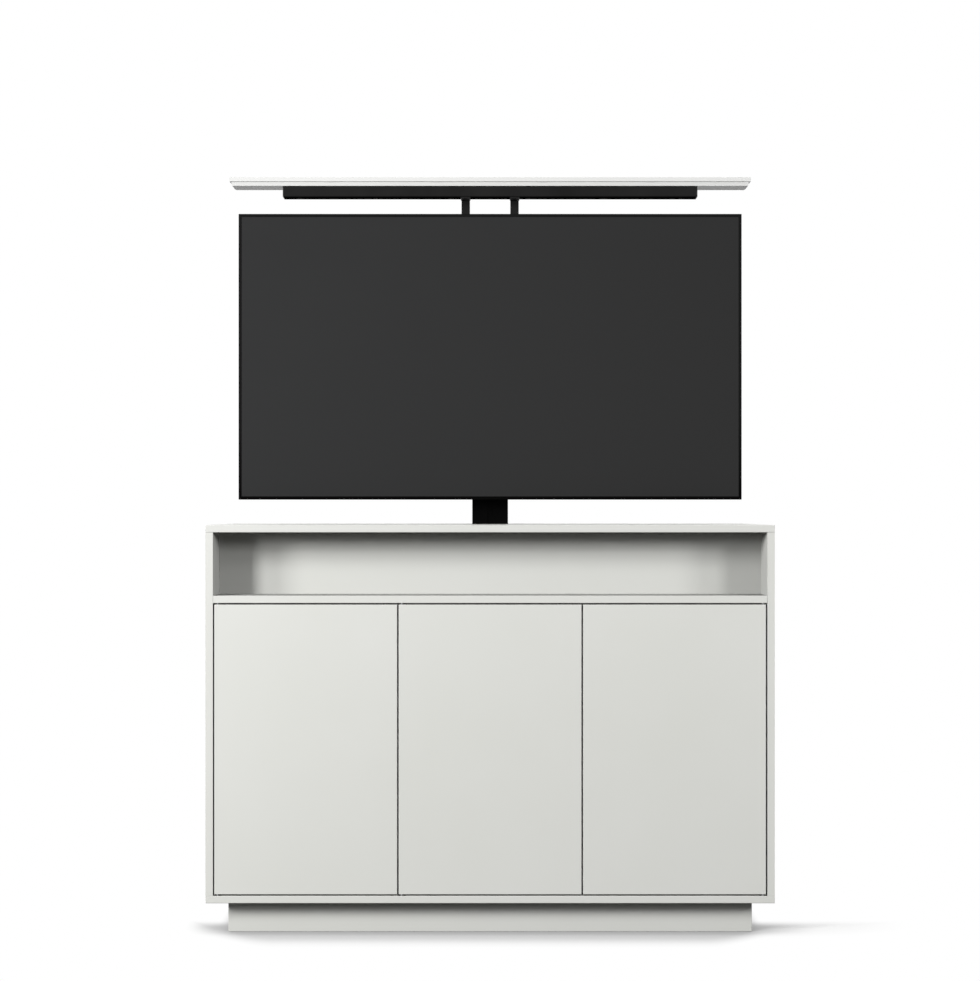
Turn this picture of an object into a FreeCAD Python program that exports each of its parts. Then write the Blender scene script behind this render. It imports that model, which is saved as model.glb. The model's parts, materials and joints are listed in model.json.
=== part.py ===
import FreeCAD, Part
import math
import os

# TV lift cabinet, in millimetres.
# X runs to the right, Y to the rear and Z up. The origin is on the floor, under the middle of the cabinet.
# The television stands raised: every lift piece is placed for the closed lid and carried up by the stroke.

# ---- carcase ----
cabinet_width = 1400.0
cabinet_depth = 500.0
board = 18.0
arris = 1.0
plinth_height = 80.0
plinth_setback = 50.0
plinth_rear_setback = 24.0
door_opening_height = 720.0
niche_height = 156.0
niche_depth = 120.0
lift_well_depth = 168.0
divider_thickness = 16.0
back_thickness = 12.0
back_recess = 4.0
back_fit = 0.5
brace_width = 70.0
shelf_lift = 340.0
shelf_side_play = 1.0
shelf_setback = 24.0
shelf_rear_play = 3.0

# ---- doors ----
door_count = 3
door_thickness = 18.0
door_swing_clearance = 0.7
door_rear_clearance = 0.7
pivot_edge_distance = 7.0
pivot_face_distance = 7.0
pivot_radius = 2.5
pivot_door_depth = 14.0
pivot_plate_length = 20.0
pivot_plate_width = 11.0
pivot_plate_thickness = 6.0
pivot_plate_fit = 0.2
pivot_tip_play = 0.5
running_fit = 0.05
hexagon_sides = 6

# ---- push latches ----
latch_width = 18.0
latch_height = 24.0
latch_length = 70.0
latch_standoff = 5.0
latch_edge_distance = 45.0
latch_stroke = 12.0
plunger_radius = 3.5
plunger_guide = 34.0
plunger_gap = 0.3
strike_width = 20.0
strike_height = 15.0
strike_thickness = 1.5

# ---- shelf supports, feet, battens ----
support_leg = 12.0
support_width = 14.0
support_thickness = 2.0
support_inset = 45.0
foot_radius = 20.0
foot_pad = 8.0
foot_pad_sides = 16
foot_stem_radius = 8.0
foot_plate = 4.0
foot_plate_width = 56.0
foot_inset = 60.0
foot_columns = 3
batten_width = 20.0
batten_thickness = 18.0

# ---- back panel vents ----
vent_count = 8
vent_width = 6.0
vent_height = 60.0
vent_pitch = 20.0
vent_side_distance = 242.0
vent_edge = 70.0
cable_hole_size = 60.0
cable_hole_corner = 8.0
cable_hole_rise = 160.0
cable_hole_side_distance = 182.0
grommet_flange = 6.0
grommet_wall = 2.5
grommet_lip = 2.0

# ---- lid opening and lid ----
opening_front_margin = 2.0
opening_rear_margin = 6.0
opening_side_margin = 3.0
opening_corner = 4.0
lid_front_overlap = 2.5
lid_rear_overlap = 5.0
lid_side_overlap = 2.5
lid_thickness = 11.0
lid_rest_gap = 1.0
under_board_depth = 64.0
under_board_thickness = 11.0
under_board_play = 1.5
under_board_taper = 2.7

# ---- lift travel and lid bar ----
lift_stroke = 895.0
bar_length = 1085.0
bar_height = 28.5
bar_wall = 2.0
bar_corner = 3.0
bar_cap = 2.0
bar_cap_plug = 16.0
bar_cap_fit = 0.2

# ---- television ----
tv_width = 1317.0
tv_height = 748.0
tv_front_play = 6.0
tv_top_drop = 84.0
tv_bezel_depth = 10.0
tv_bezel_side = 7.5
tv_bezel_bottom = 8.5
tv_screen_recess = 1.5
tv_screen_thickness = 4.0
tv_screen_play = 0.3
tv_corner = 1.5
tv_cover_thickness = 5.0
tv_cover_inset = 1.0
tv_bulge_width = 1040.0
tv_bulge_height = 540.0
tv_bulge_depth = 19.0
tv_bulge_taper = 24.0
tv_vent_count = 24
tv_vent_width = 8.0
tv_vent_height = 22.0
tv_vent_pitch = 25.0
tv_vent_depth = 3.0
tv_vent_drop = 52.0
tv_port_width = 150.0
tv_port_height = 46.0
tv_port_depth = 9.0
tv_port_side = 330.0
tv_port_rise = 62.0

# ---- television rails and mount plate ----
rail_spacing = 400.0
rail_length = 470.0
rail_width = 32.0
rail_depth = 8.0
rail_wall = 2.0
rail_slot_length = 16.0
rail_slot_pitch = 40.0
rail_slot_count = 9
mount_bolt_pitch = 400.0
mount_bolt_radius = 4.0
mount_bolt_depth = 12.0
bolt_head_radius = 7.5
bolt_head = 4.5
plate_width = 470.0
plate_height = 210.0
plate_thickness = 4.0
plate_corner = 12.0
plate_window_width = 120.0
plate_window_height = 110.0
plate_window_offset = 150.0

# ---- uprights and head bracket ----
upright_size = 22.0
upright_wall = 2.0
upright_spacing = 129.0
upright_foot_drop = 120.0
upright_tongue_width = 25.0
upright_tongue_thickness = 3.0
upright_tongue_setback = 3.0
upright_column_gap = 3.0
head_plate = 6.0
head_flange = 5.0
head_flange_drop = 120.0
head_flange_rise = 60.0
head_rib = 5.0
head_rib_reach = 38.0
head_side_margin = 8.0
head_bolt_radius = 4.0
head_bolt_spacing = 40.0

# ---- column ----
base_plate = 8.0
base_plate_margin = 45.0
base_plate_depth_margin = 6.0
base_bolt_radius = 4.5
column_width = 109.0
column_depth = 56.0
column_wall = 4.0
column_corner = 4.0
stage_play = 3.0
stage_step = 12.0
stage_overlap = 180.0
stage_groove = 2.0
stage_groove_width = 14.0
glide_length = 40.0
glide_clearance = 0.3
glide_share = 0.6
bracket_height = 40.0
bracket_web = 4.0
bracket_flange = 22.0
bracket_level = 470.0

# ---- drive ----
gearbox_width = 60.0
gearbox_height = 74.0
gearbox_depth_margin = 2.0
gearbox_corner = 8.0
motor_radius = 25.0
motor_length = 130.0
motor_neck_radius = 19.0
motor_neck = 8.0
motor_cap = 10.0
motor_cap_radius = 23.0
control_width = 190.0
control_depth = 96.0
control_height = 42.0
control_side_distance = 167.0
control_corner = 5.0
control_port_count = 4
control_port_width = 16.0
control_port_height = 11.0
control_port_pitch = 22.0
control_port_depth = 8.0
control_inlet_width = 24.0
control_inlet_height = 18.0
control_inlet_depth = 14.0

# ---- derived places ----
front = -cabinet_depth / 2.0
rear = cabinet_depth / 2.0
inner_half = cabinet_width / 2.0 - board
bottom_top = plinth_height + board
shelf_under = bottom_top + door_opening_height
shelf_top = shelf_under + board
top_under = shelf_top + niche_height
cabinet_top = top_under + board
back_rear = rear - back_recess
back_front = back_rear - back_thickness
niche_rear = front + niche_depth
divider_rear = back_front - lift_well_depth
divider_front = divider_rear - divider_thickness
door_rear = front + door_thickness
pivot_y = front + pivot_face_distance
door_gap = math.hypot(pivot_edge_distance, pivot_face_distance) - pivot_edge_distance + door_swing_clearance
rear_swing = math.hypot(pivot_edge_distance, door_thickness - pivot_face_distance)
inner_front = pivot_y + rear_swing + door_rear_clearance

door_width = (2.0 * inner_half - (door_count + 1) * door_gap) / door_count
door_bottom = bottom_top + door_gap
door_top = shelf_under - door_gap
door_lefts = [-inner_half + door_gap + n * (door_width + door_gap) for n in range(door_count)]
door_names = ["left", "centre", "right"]
hinged_left = [True, True, False]
partition_middles = [left - door_gap / 2.0 for left in door_lefts[1:]]

opening_front = divider_rear + opening_front_margin
opening_half = inner_half - opening_side_margin

lid_under = cabinet_top + lid_rest_gap + lift_stroke
lid_front = opening_front - lid_front_overlap
lid_half = opening_half + lid_side_overlap
under_board_half = opening_half - under_board_play
under_board_front = opening_front + under_board_play
under_board_under = lid_under - under_board_thickness

tv_front = opening_front + tv_front_play
tv_top = lid_under - tv_top_drop
tv_bottom = tv_top - tv_height
tv_middle = (tv_top + tv_bottom) / 2.0
tv_cover_front = tv_front + tv_bezel_depth
tv_bulge_front = tv_cover_front + tv_cover_thickness
tv_rear = tv_bulge_front + tv_bulge_depth
plate_front = tv_rear + rail_depth
upright_front = plate_front + plate_thickness
upright_rear = upright_front + upright_size
bar_top = under_board_under
bar_under = bar_top - bar_height
upright_under = tv_middle - upright_foot_drop

column_front = upright_rear + upright_column_gap
column_middle_y = column_front + column_depth / 2.0
opening_rear = column_front + column_depth + opening_rear_margin
lid_rear = opening_rear + lid_rear_overlap
column_bottom = bottom_top + base_plate
stage_length = lift_stroke / 2.0 + stage_overlap + stage_step
middle_width = column_width - 2.0 * (column_wall + stage_play)
middle_depth = column_depth - 2.0 * (column_wall + stage_play)
inner_width = middle_width - 2.0 * (column_wall + stage_play)
inner_depth = middle_depth - 2.0 * (column_wall + stage_play)
middle_bottom = column_bottom + stage_step + lift_stroke / 2.0
inner_bottom = column_bottom + 2.0 * stage_step + lift_stroke
inner_top = inner_bottom + stage_length
motor_x = column_width / 2.0 + gearbox_width / 2.0
latch_front = door_rear + latch_standoff
latch_middle_z = shelf_under - latch_height / 2.0
plunger_length = plunger_guide + latch_stroke


def save(name, *shapes):
    shape = shapes[0] if len(shapes) == 1 else Part.makeCompound(list(shapes))
    shape.exportStep("parts/" + name + ".step")


def block(x0, x1, y0, y1, z0, z1):
    return Part.makeBox(x1 - x0, y1 - y0, z1 - z0, FreeCAD.Vector(x0, y0, z0))


def rod(radius, start, end):
    """A round bar from one point to another."""
    along = end - start
    return Part.makeCylinder(radius, along.Length, start, along)


def vector(x, y, z):
    return FreeCAD.Vector(x, y, z)


def faceted_bar(sides, radius, start, end):
    """A bar with a regular many-sided section; radius is to its corners."""
    along = end - start
    turn = FreeCAD.Rotation(FreeCAD.Vector(0, 0, 1), along)
    corners = []
    for n in range(sides + 1):
        angle = 2.0 * math.pi * n / sides
        corners.append(start + turn.multVec(vector(radius * math.cos(angle), radius * math.sin(angle), 0)))
    return Part.Face(Part.makePolygon(corners)).extrude(along)


def fillet_along(shape, direction, radius):
    """Round every straight edge that runs along a direction."""
    edges = []
    for edge in shape.Edges:
        run = edge.Vertexes[-1].Point - edge.Vertexes[0].Point
        if run.Length > arris and abs(abs(run.normalize().dot(direction)) - 1.0) < 1e-6:
            edges.append(edge)
    return shape.makeFillet(radius, edges)


def soften_front(shape, face_y):
    """Break the sharp edges round a front face."""
    edges = []
    for edge in shape.Edges:
        if all(abs(vertex.Point.y - face_y) < 1e-6 for vertex in edge.Vertexes):
            edges.append(edge)
    return shape.makeChamfer(arris, edges)


def rounded_plate(x0, x1, y0, y1, z0, z1, radius):
    """A flat plate with its four upright corners rounded."""
    return fillet_along(block(x0, x1, y0, y1, z0, z1), vector(0, 0, 1), radius)


# ---------------------------------------------------------------- carcase

def side_panel(side):
    inner = side * inner_half
    outer = side * cabinet_width / 2.0
    return block(min(inner, outer), max(inner, outer), front, rear, bottom_top, top_under)


def top_panel():
    """A full board with the opening that the television rises through."""
    half = cabinet_width / 2.0
    panel = soften_front(block(-half, half, front, rear, top_under, cabinet_top), front)
    opening = rounded_plate(-opening_half, opening_half, opening_front, opening_rear,
                            top_under - board, cabinet_top + board, opening_corner)
    return panel.cut(opening)


def bottom_panel():
    half = cabinet_width / 2.0
    panel = soften_front(block(-half, half, front, rear, plinth_height, bottom_top), front)
    return panel.cut([pivot_plate_block(x, bottom_top, -1, pivot_plate_fit) for x in pivot_places()])


def niche_shelf():
    panel = soften_front(block(-inner_half, inner_half, front, niche_rear, shelf_under, shelf_top), front)
    return panel.cut([pivot_plate_block(x, shelf_under, 1, pivot_plate_fit) for x in pivot_places()])


def niche_wall():
    """The rear wall of the open niche, behind the fixed shelf."""
    return block(-inner_half, inner_half, niche_rear, niche_rear + divider_thickness, shelf_under, top_under)


def niche_rear_board():
    """The board that closes the compartments behind that wall; over it the lift compartment is open."""
    return block(-inner_half, inner_half, niche_rear + divider_thickness, divider_rear, shelf_under, shelf_top)


def divider_panel():
    """The wall between the door compartments and the lift, up to the rear board."""
    return block(-inner_half, inner_half, divider_front, divider_rear, bottom_top, shelf_under)


def partition(middle):
    half = board / 2.0
    return block(middle - half, middle + half, inner_front, divider_front, bottom_top, shelf_under)


def compartments():
    """Left and right wall of each door compartment."""
    walls = [-inner_half]
    for middle in partition_middles:
        walls += [middle - board / 2.0, middle + board / 2.0]
    walls.append(inner_half)
    return list(zip(walls[0::2], walls[1::2]))


def loose_shelf(walls):
    left, right = walls
    z = bottom_top + shelf_lift
    shelf = block(left + shelf_side_play, right - shelf_side_play, inner_front + shelf_setback,
                  divider_front - shelf_rear_play, z, z + board)
    return soften_front(shelf, inner_front + shelf_setback)


def shelf_support(wall, inward, y):
    """A folded angle on the compartment's wall; the loose shelf lies on its upper leg."""
    z = bottom_top + shelf_lift
    outline = [(0.0, 0.0), (support_leg, 0.0), (support_leg, -support_thickness),
               (support_thickness, -support_thickness), (support_thickness, -support_leg),
               (0.0, -support_leg), (0.0, 0.0)]
    profile = Part.makePolygon([vector(wall + inward * x, y - support_width / 2.0, z + dz)
                                for x, dz in outline])
    return Part.Face(profile).extrude(vector(0, support_width, 0))


def shelf_supports():
    supports = []
    for left, right in compartments():
        for wall, inward in ((left, 1), (right, -1)):
            for y in (inner_front + shelf_setback + support_inset, divider_front - support_inset):
                supports.append(shelf_support(wall, inward, y))
    return supports


def back_panel():
    """A lift-out back with two groups of vents low and high, and one cable hole."""
    panel = block(-inner_half + back_fit, inner_half - back_fit, back_front, back_rear,
                  bottom_top + back_fit, top_under - back_fit)
    slots = []
    for side in (-1, 1):
        group_x = side * (inner_half - vent_side_distance)
        for group_z in (bottom_top + vent_edge, top_under - vent_edge - vent_height):
            for n in range(vent_count):
                x = group_x + (n - (vent_count - 1) / 2.0) * vent_pitch
                slots.append(vent_slot(x, group_z))
    return panel.cut(slots + [cable_hole_block(0.0, back_front - board, back_rear + board)])


def vent_slot(x, z):
    return block(x - vent_width / 2.0, x + vent_width / 2.0, back_front - board, back_rear + board,
                 z, z + vent_height)


def cable_hole_block(grow, y0, y1):
    """The space of the cable hole with its rounded corners, grown by a margin, from one depth to another."""
    x0 = -inner_half + cable_hole_side_distance - grow
    z0 = bottom_top + cable_hole_rise - grow
    size = cable_hole_size + 2.0 * grow
    return fillet_along(block(x0, x0 + size, y0, y1, z0, z0 + size), vector(0, 1, 0), cable_hole_corner + grow)


def cable_grommet():
    """A moulded frame on the rear of the panel that covers the edge of the cable hole."""
    flange = cable_hole_block(grommet_flange, back_rear, back_rear + grommet_lip)
    return flange.cut(cable_hole_block(-grommet_wall, back_front - board, back_rear + board))


def back_batten(side):
    """An upright batten on the side panel, which the back panel is screwed to."""
    inner = side * (inner_half - batten_width)
    outer = side * inner_half
    return block(min(inner, outer), max(inner, outer), back_front - batten_thickness, back_front,
                 bottom_top, top_under)


# ---------------------------------------------------------------- plinth and feet

def plinth_lines():
    half = cabinet_width / 2.0 - plinth_setback
    return half, front + plinth_setback, rear - plinth_rear_setback


def plinth_front():
    half, y0, _ = plinth_lines()
    return soften_front(block(-half, half, y0, y0 + board, 0.0, plinth_height), y0)


def plinth_back():
    half, _, y1 = plinth_lines()
    return block(-half, half, y1 - board, y1, 0.0, plinth_height)


def plinth_side(side):
    half, y0, y1 = plinth_lines()
    inner = side * (half - board)
    outer = side * half
    return block(min(inner, outer), max(inner, outer), y0 + board, y1 - board, 0.0, plinth_height)


def plinth_braces():
    """Two upright cross boards that carry the middle of the bottom panel."""
    _, y0, y1 = plinth_lines()
    return [block(x - board / 2.0, x + board / 2.0, y0 + board, y1 - board,
                  plinth_height - brace_width, plinth_height) for x in partition_middles]


def levelling_foot(x, y):
    """A pad on a six-sided stem, under a square plate that is screwed to the bottom panel."""
    pad = faceted_bar(foot_pad_sides, foot_radius, vector(x, y, 0), vector(x, y, foot_pad))
    half = foot_plate_width / 2.0
    plate = block(x - half, x + half, y - half, y + half, plinth_height - foot_plate, plinth_height)
    stem = faceted_bar(hexagon_sides, foot_stem_radius, vector(x, y, foot_pad),
                       vector(x, y, plinth_height - foot_plate))
    return pad.fuse([stem, plate])


def levelling_feet():
    half, y0, y1 = plinth_lines()
    feet = []
    for column in range(foot_columns):
        x = (half - board - foot_inset) * (2.0 * column / (foot_columns - 1) - 1.0)
        for y in (y0 + board + foot_inset, y1 - board - foot_inset):
            feet.append(levelling_foot(x, y))
    return feet


# ---------------------------------------------------------------- doors

def pivot_x(index):
    left = door_lefts[index]
    if hinged_left[index]:
        return left + pivot_edge_distance
    return left + door_width - pivot_edge_distance


def pivot_places():
    return [pivot_x(index) for index in range(door_count)]


def pivot_plate_block(x, face_z, into, fit):
    """The space that a pivot plate fills; into is the direction that it is let in."""
    half = pivot_plate_length / 2.0 + fit
    depth = into * (pivot_plate_thickness + fit)
    y0 = pivot_y - pivot_plate_width / 2.0 - fit
    y1 = pivot_y + pivot_plate_width / 2.0 + fit
    return block(x - half, x + half, y0, y1, min(face_z, face_z + depth), max(face_z, face_z + depth))


def pivot_plate(x, face_z, into):
    """A plate let in flush with the board's face, with the hole that a door's pin turns in."""
    start = vector(x, pivot_y, face_z - into * board)
    hole = rod(pivot_radius + running_fit, start, start + vector(0, 0, into * 2.0 * board))
    return pivot_plate_block(x, face_z, into, 0.0).cut(hole)


def pivot_plates():
    plates = []
    for x in pivot_places():
        plates.append(pivot_plate(x, bottom_top, -1))
        plates.append(pivot_plate(x, shelf_under, 1))
    return plates


def pivot_pins(index):
    x = pivot_x(index)
    reach = pivot_plate_thickness - pivot_tip_play
    low = rod(pivot_radius, vector(x, pivot_y, bottom_top - reach),
              vector(x, pivot_y, door_bottom + pivot_door_depth))
    high = rod(pivot_radius, vector(x, pivot_y, door_top - pivot_door_depth),
               vector(x, pivot_y, shelf_under + reach))
    return [low, high]


def door(index):
    left = door_lefts[index]
    panel = block(left, left + door_width, front, door_rear, door_bottom, door_top)
    panel = soften_front(panel, front)
    x = pivot_x(index)
    for start_z in (door_bottom, door_top - pivot_door_depth):
        bore = rod(pivot_radius + running_fit, vector(x, pivot_y, start_z),
                   vector(x, pivot_y, start_z + pivot_door_depth))
        panel = panel.cut(bore)
    return panel


def latch_x(index):
    left = door_lefts[index]
    if hinged_left[index]:
        return left + door_width - latch_edge_distance
    return left + latch_edge_distance


def latch_body(index):
    """A slim housing under the fixed shelf, with a bore for the plunger and a chamfered nose."""
    x = latch_x(index)
    body = block(x - latch_width / 2.0, x + latch_width / 2.0, latch_front, latch_front + latch_length,
                 shelf_under - latch_height, shelf_under)
    nose = [edge for edge in body.Edges
            if all(abs(v.Point.y - latch_front) < 1e-6 and v.Point.z < shelf_under - running_fit
                   for v in edge.Vertexes)]
    body = body.makeChamfer(arris, nose)
    bore = rod(plunger_radius + running_fit, vector(x, latch_front - arris, latch_middle_z),
               vector(x, latch_front + latch_length - arris, latch_middle_z))
    return body.cut(bore)


def latch_plunger(index):
    """A round shaft that ends just behind the strike plate while the door is shut."""
    x = latch_x(index)
    tip = door_rear + strike_thickness + plunger_gap
    return rod(plunger_radius, vector(x, tip, latch_middle_z), vector(x, tip + plunger_length, latch_middle_z))


def latch_strike(index):
    """A thin steel plate on the rear of the door."""
    x = latch_x(index)
    return block(x - strike_width / 2.0, x + strike_width / 2.0, door_rear, door_rear + strike_thickness,
                 latch_middle_z - strike_height / 2.0, latch_middle_z + strike_height / 2.0)


# ---------------------------------------------------------------- lid

def lid_board():
    lid = block(-lid_half, lid_half, lid_front, lid_rear, lid_under, lid_under + lid_thickness)
    top_edges = [edge for edge in lid.Edges
                 if all(abs(v.Point.z - lid_under - lid_thickness) < 1e-6 for v in edge.Vertexes)]
    return lid.makeFillet(arris, top_edges)


def lid_under_board():
    """The stiffening board under the front of the lid; its tapered ends guide it into the opening."""
    foot_half = under_board_half - under_board_taper
    outline = [vector(-under_board_half, under_board_front, lid_under),
               vector(under_board_half, under_board_front, lid_under),
               vector(foot_half, under_board_front, under_board_under),
               vector(-foot_half, under_board_front, under_board_under),
               vector(-under_board_half, under_board_front, lid_under)]
    return Part.Face(Part.makePolygon(outline)).extrude(vector(0, under_board_depth, 0))


def lid_bar():
    """A rectangular tube under the lid and in front of the uprights, with rounded long edges."""
    half = bar_length / 2.0 - bar_cap
    outer = fillet_along(block(-half, half, under_board_front, upright_front, bar_under, bar_top),
                         vector(1, 0, 0), bar_corner)
    bore = block(-half, half, under_board_front + bar_wall, upright_front - bar_wall,
                 bar_under + bar_wall, bar_top - bar_wall)
    return outer.cut(bore)


def lid_bar_caps():
    """Plastic plugs that close both ends of the bar."""
    caps = []
    for side in (-1, 1):
        outer = side * bar_length / 2.0
        face = side * (bar_length / 2.0 - bar_cap)
        flange = fillet_along(block(min(outer, face), max(outer, face), under_board_front, upright_front,
                                    bar_under, bar_top), vector(1, 0, 0), bar_corner)
        inner = face - side * bar_cap_plug
        fit = bar_wall + bar_cap_fit
        plug = block(min(inner, face), max(inner, face), under_board_front + fit, upright_front - fit,
                     bar_under + fit, bar_top - fit)
        caps.append(flange.fuse(plug))
    return caps


# ---------------------------------------------------------------- television

def tv_frame_block(inset_side, inset_bottom, inset_top, y0, y1):
    half = tv_width / 2.0 - inset_side
    return block(-half, half, y0, y1, tv_bottom + inset_bottom, tv_top - inset_top)


def tv_bezel():
    """A frame with a thin lip in front of the screen and a wider seat behind it."""
    frame = fillet_along(tv_frame_block(0.0, 0.0, 0.0, tv_front, tv_cover_front), vector(0, 1, 0), tv_corner)
    sight = tv_frame_block(tv_bezel_side, tv_bezel_bottom, tv_bezel_side,
                           tv_front - board, tv_cover_front + board)
    pocket = tv_frame_block(tv_bezel_side / 2.0, tv_bezel_bottom / 2.0, tv_bezel_side / 2.0,
                            tv_front + tv_screen_recess, tv_cover_front + board)
    return frame.cut([sight, pocket])


def tv_screen():
    """The glass and its panel, held in the pocket behind the lip."""
    side = tv_bezel_side / 2.0 + tv_screen_play
    foot = tv_bezel_bottom / 2.0 + tv_screen_play
    y0 = tv_front + tv_screen_recess
    return tv_frame_block(side, foot, side, y0, y0 + tv_screen_thickness)


def tv_rear_cover():
    """A thin back that fills the frame, and a tapered housing in its middle with vents and a port recess."""
    y0 = tv_front + tv_screen_recess + tv_screen_thickness
    side = tv_bezel_side / 2.0 + tv_screen_play
    foot = tv_bezel_bottom / 2.0 + tv_screen_play
    core = tv_frame_block(side, foot, side, y0, tv_cover_front)
    skin = fillet_along(tv_frame_block(tv_cover_inset, tv_cover_inset, tv_cover_inset,
                                       tv_cover_front, tv_bulge_front),
                        vector(0, 1, 0), tv_corner)
    bulge = tv_bulge()
    cover = core.fuse([skin, bulge])
    cuts = [tv_vent(n) for n in range(tv_vent_count)]
    cuts.append(tv_port_recess())
    cuts += [rod(mount_bolt_radius + running_fit, vector(x, tv_rear - mount_bolt_depth, z),
                 vector(x, tv_rear + board, z)) for x, z in mount_bolt_places()]
    return cover.cut(cuts)


def tv_bulge():
    def outline(inset, y):
        half = tv_bulge_width / 2.0 - inset
        low = tv_middle - tv_bulge_height / 2.0 + inset
        high = tv_middle + tv_bulge_height / 2.0 - inset
        points = [vector(-half, y, low), vector(half, y, low), vector(half, y, high),
                  vector(-half, y, high), vector(-half, y, low)]
        return Part.makePolygon(points)
    return Part.makeLoft([outline(0.0, tv_bulge_front), outline(tv_bulge_taper, tv_rear)], True, True)


def tv_vent(n):
    x = (n - (tv_vent_count - 1) / 2.0) * tv_vent_pitch
    z = tv_middle + tv_bulge_height / 2.0 - tv_vent_drop
    return block(x - tv_vent_width / 2.0, x + tv_vent_width / 2.0, tv_rear - tv_vent_depth, tv_rear + board,
                 z - tv_vent_height / 2.0, z + tv_vent_height / 2.0)


def tv_port_recess():
    z = tv_middle - tv_bulge_height / 2.0 + tv_port_rise
    return block(tv_port_side - tv_port_width / 2.0, tv_port_side + tv_port_width / 2.0,
                 tv_rear - tv_port_depth, tv_rear + board,
                 z - tv_port_height / 2.0, z + tv_port_height / 2.0)


def mount_bolt_places():
    half = rail_spacing / 2.0
    rise = mount_bolt_pitch / 2.0
    return [(x, z) for x in (-half, half) for z in (tv_middle - rise, tv_middle + rise)]


# ---------------------------------------------------------------- television mount

def tv_rail(side):
    """A folded channel: its web lies on the television and its flanges reach back to the mount plate."""
    x = side * rail_spacing / 2.0
    z0 = tv_middle - rail_length / 2.0
    z1 = tv_middle + rail_length / 2.0
    outer = block(x - rail_width / 2.0, x + rail_width / 2.0, tv_rear, plate_front, z0, z1)
    hollow = block(x - rail_width / 2.0 + rail_wall, x + rail_width / 2.0 - rail_wall,
                   tv_rear + rail_wall, plate_front + board, z0 - board, z1 + board)
    slots = []
    for n in range(rail_slot_count):
        z = tv_middle + (n - (rail_slot_count - 1) / 2.0) * rail_slot_pitch
        if all(abs(z - bolt_z) > rail_slot_length for _, bolt_z in mount_bolt_places()):
            slots.append(block(x - mount_bolt_radius, x + mount_bolt_radius,
                               tv_rear - board, plate_front + board,
                               z - rail_slot_length / 2.0, z + rail_slot_length / 2.0))
    holes = [rod(mount_bolt_radius + running_fit, vector(x, tv_rear - board, z), vector(x, plate_front, z))
             for bolt_x, z in mount_bolt_places() if bolt_x * side > 0]
    return outer.cut([hollow] + slots + holes)


def tv_bolts():
    bolts = []
    for x, z in mount_bolt_places():
        seat = tv_rear + rail_wall
        shank = rod(mount_bolt_radius, vector(x, tv_rear - mount_bolt_depth, z), vector(x, seat, z))
        head = faceted_bar(hexagon_sides, bolt_head_radius, vector(x, seat, z), vector(x, seat + bolt_head, z))
        bolts.append(shank.fuse(head))
    return bolts


def mount_plate():
    """The plate that joins the rails to the uprights, lightened by two windows."""
    half = plate_width / 2.0
    z0 = tv_middle - plate_height / 2.0
    z1 = tv_middle + plate_height / 2.0
    plate = fillet_along(block(-half, half, plate_front, upright_front, z0, z1), vector(0, 1, 0), plate_corner)
    windows = []
    for x in (-plate_window_offset, plate_window_offset):
        window = block(x - plate_window_width / 2.0, x + plate_window_width / 2.0,
                       plate_front - board, upright_front + board,
                       tv_middle - plate_window_height / 2.0, tv_middle + plate_window_height / 2.0)
        windows.append(fillet_along(window, vector(0, 1, 0), plate_corner))
    return plate.cut(windows)


def upright(side):
    """A square tube up behind the bar to the under board, with a tongue under the bar."""
    x = side * upright_spacing / 2.0
    half = upright_size / 2.0
    outer = block(x - half, x + half, upright_front, upright_rear, upright_under, bar_top)
    hollow = half - upright_wall
    bore = block(x - hollow, x + hollow, upright_front + upright_wall, upright_rear - upright_wall,
                 upright_under - board, bar_top + board)
    tongue_half = upright_tongue_width / 2.0
    tongue = block(x - tongue_half, x + tongue_half, under_board_front + upright_tongue_setback,
                   upright_front, bar_under - upright_tongue_thickness, bar_under)
    return outer.cut(bore).fuse(tongue)


def head_bracket():
    """A welded bracket: a cap on the inner stage, a flange between the uprights and two ribs."""
    flange_half = (upright_spacing - upright_size) / 2.0
    cap_half = inner_width / 2.0 + head_side_margin
    flange_front = upright_rear - head_flange
    cap_rear = column_middle_y + inner_depth / 2.0
    cap_top = inner_top + head_plate
    cap = block(-cap_half, cap_half, flange_front, cap_rear, inner_top, cap_top)
    flange = block(-flange_half, flange_half, flange_front, upright_rear,
                   cap_top - head_flange_drop, cap_top + head_flange_rise)
    parts = [flange]
    for x in (-cap_half + head_rib, cap_half - head_rib):
        outline = [vector(x - head_rib / 2.0, upright_rear, cap_top),
                   vector(x - head_rib / 2.0, upright_rear + head_rib_reach, cap_top),
                   vector(x - head_rib / 2.0, upright_rear, cap_top + head_flange_rise),
                   vector(x - head_rib / 2.0, upright_rear, cap_top)]
        parts.append(Part.Face(Part.makePolygon(outline)).extrude(vector(head_rib, 0, 0)))
    bracket = cap.fuse(parts).removeSplitter()
    bores = []
    for x in (-head_bolt_spacing / 2.0, head_bolt_spacing / 2.0):
        bores.append(rod(head_bolt_radius, vector(x, column_middle_y, inner_top - board),
                         vector(x, column_middle_y, cap_top + board)))
    return bracket.cut(bores)


# ---------------------------------------------------------------- column

def stage(width, depth, z0):
    """One extruded stage: a tube with rounded corners and a shallow groove down each wide face."""
    half_w = width / 2.0
    half_d = depth / 2.0
    z1 = z0 + stage_length
    tube = rounded_plate(-half_w, half_w, column_middle_y - half_d, column_middle_y + half_d,
                         z0, z1, column_corner)
    bore = block(-half_w + column_wall, half_w - column_wall, column_middle_y - half_d + column_wall,
                 column_middle_y + half_d - column_wall, z0 - board, z1 + board)
    grooves = []
    for y in (column_middle_y - half_d, column_middle_y + half_d):
        grooves.append(block(-stage_groove_width / 2.0, stage_groove_width / 2.0, y - stage_groove,
                             y + stage_groove, z0 - board, z1 + board))
    return tube.cut([bore] + grooves)


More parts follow.
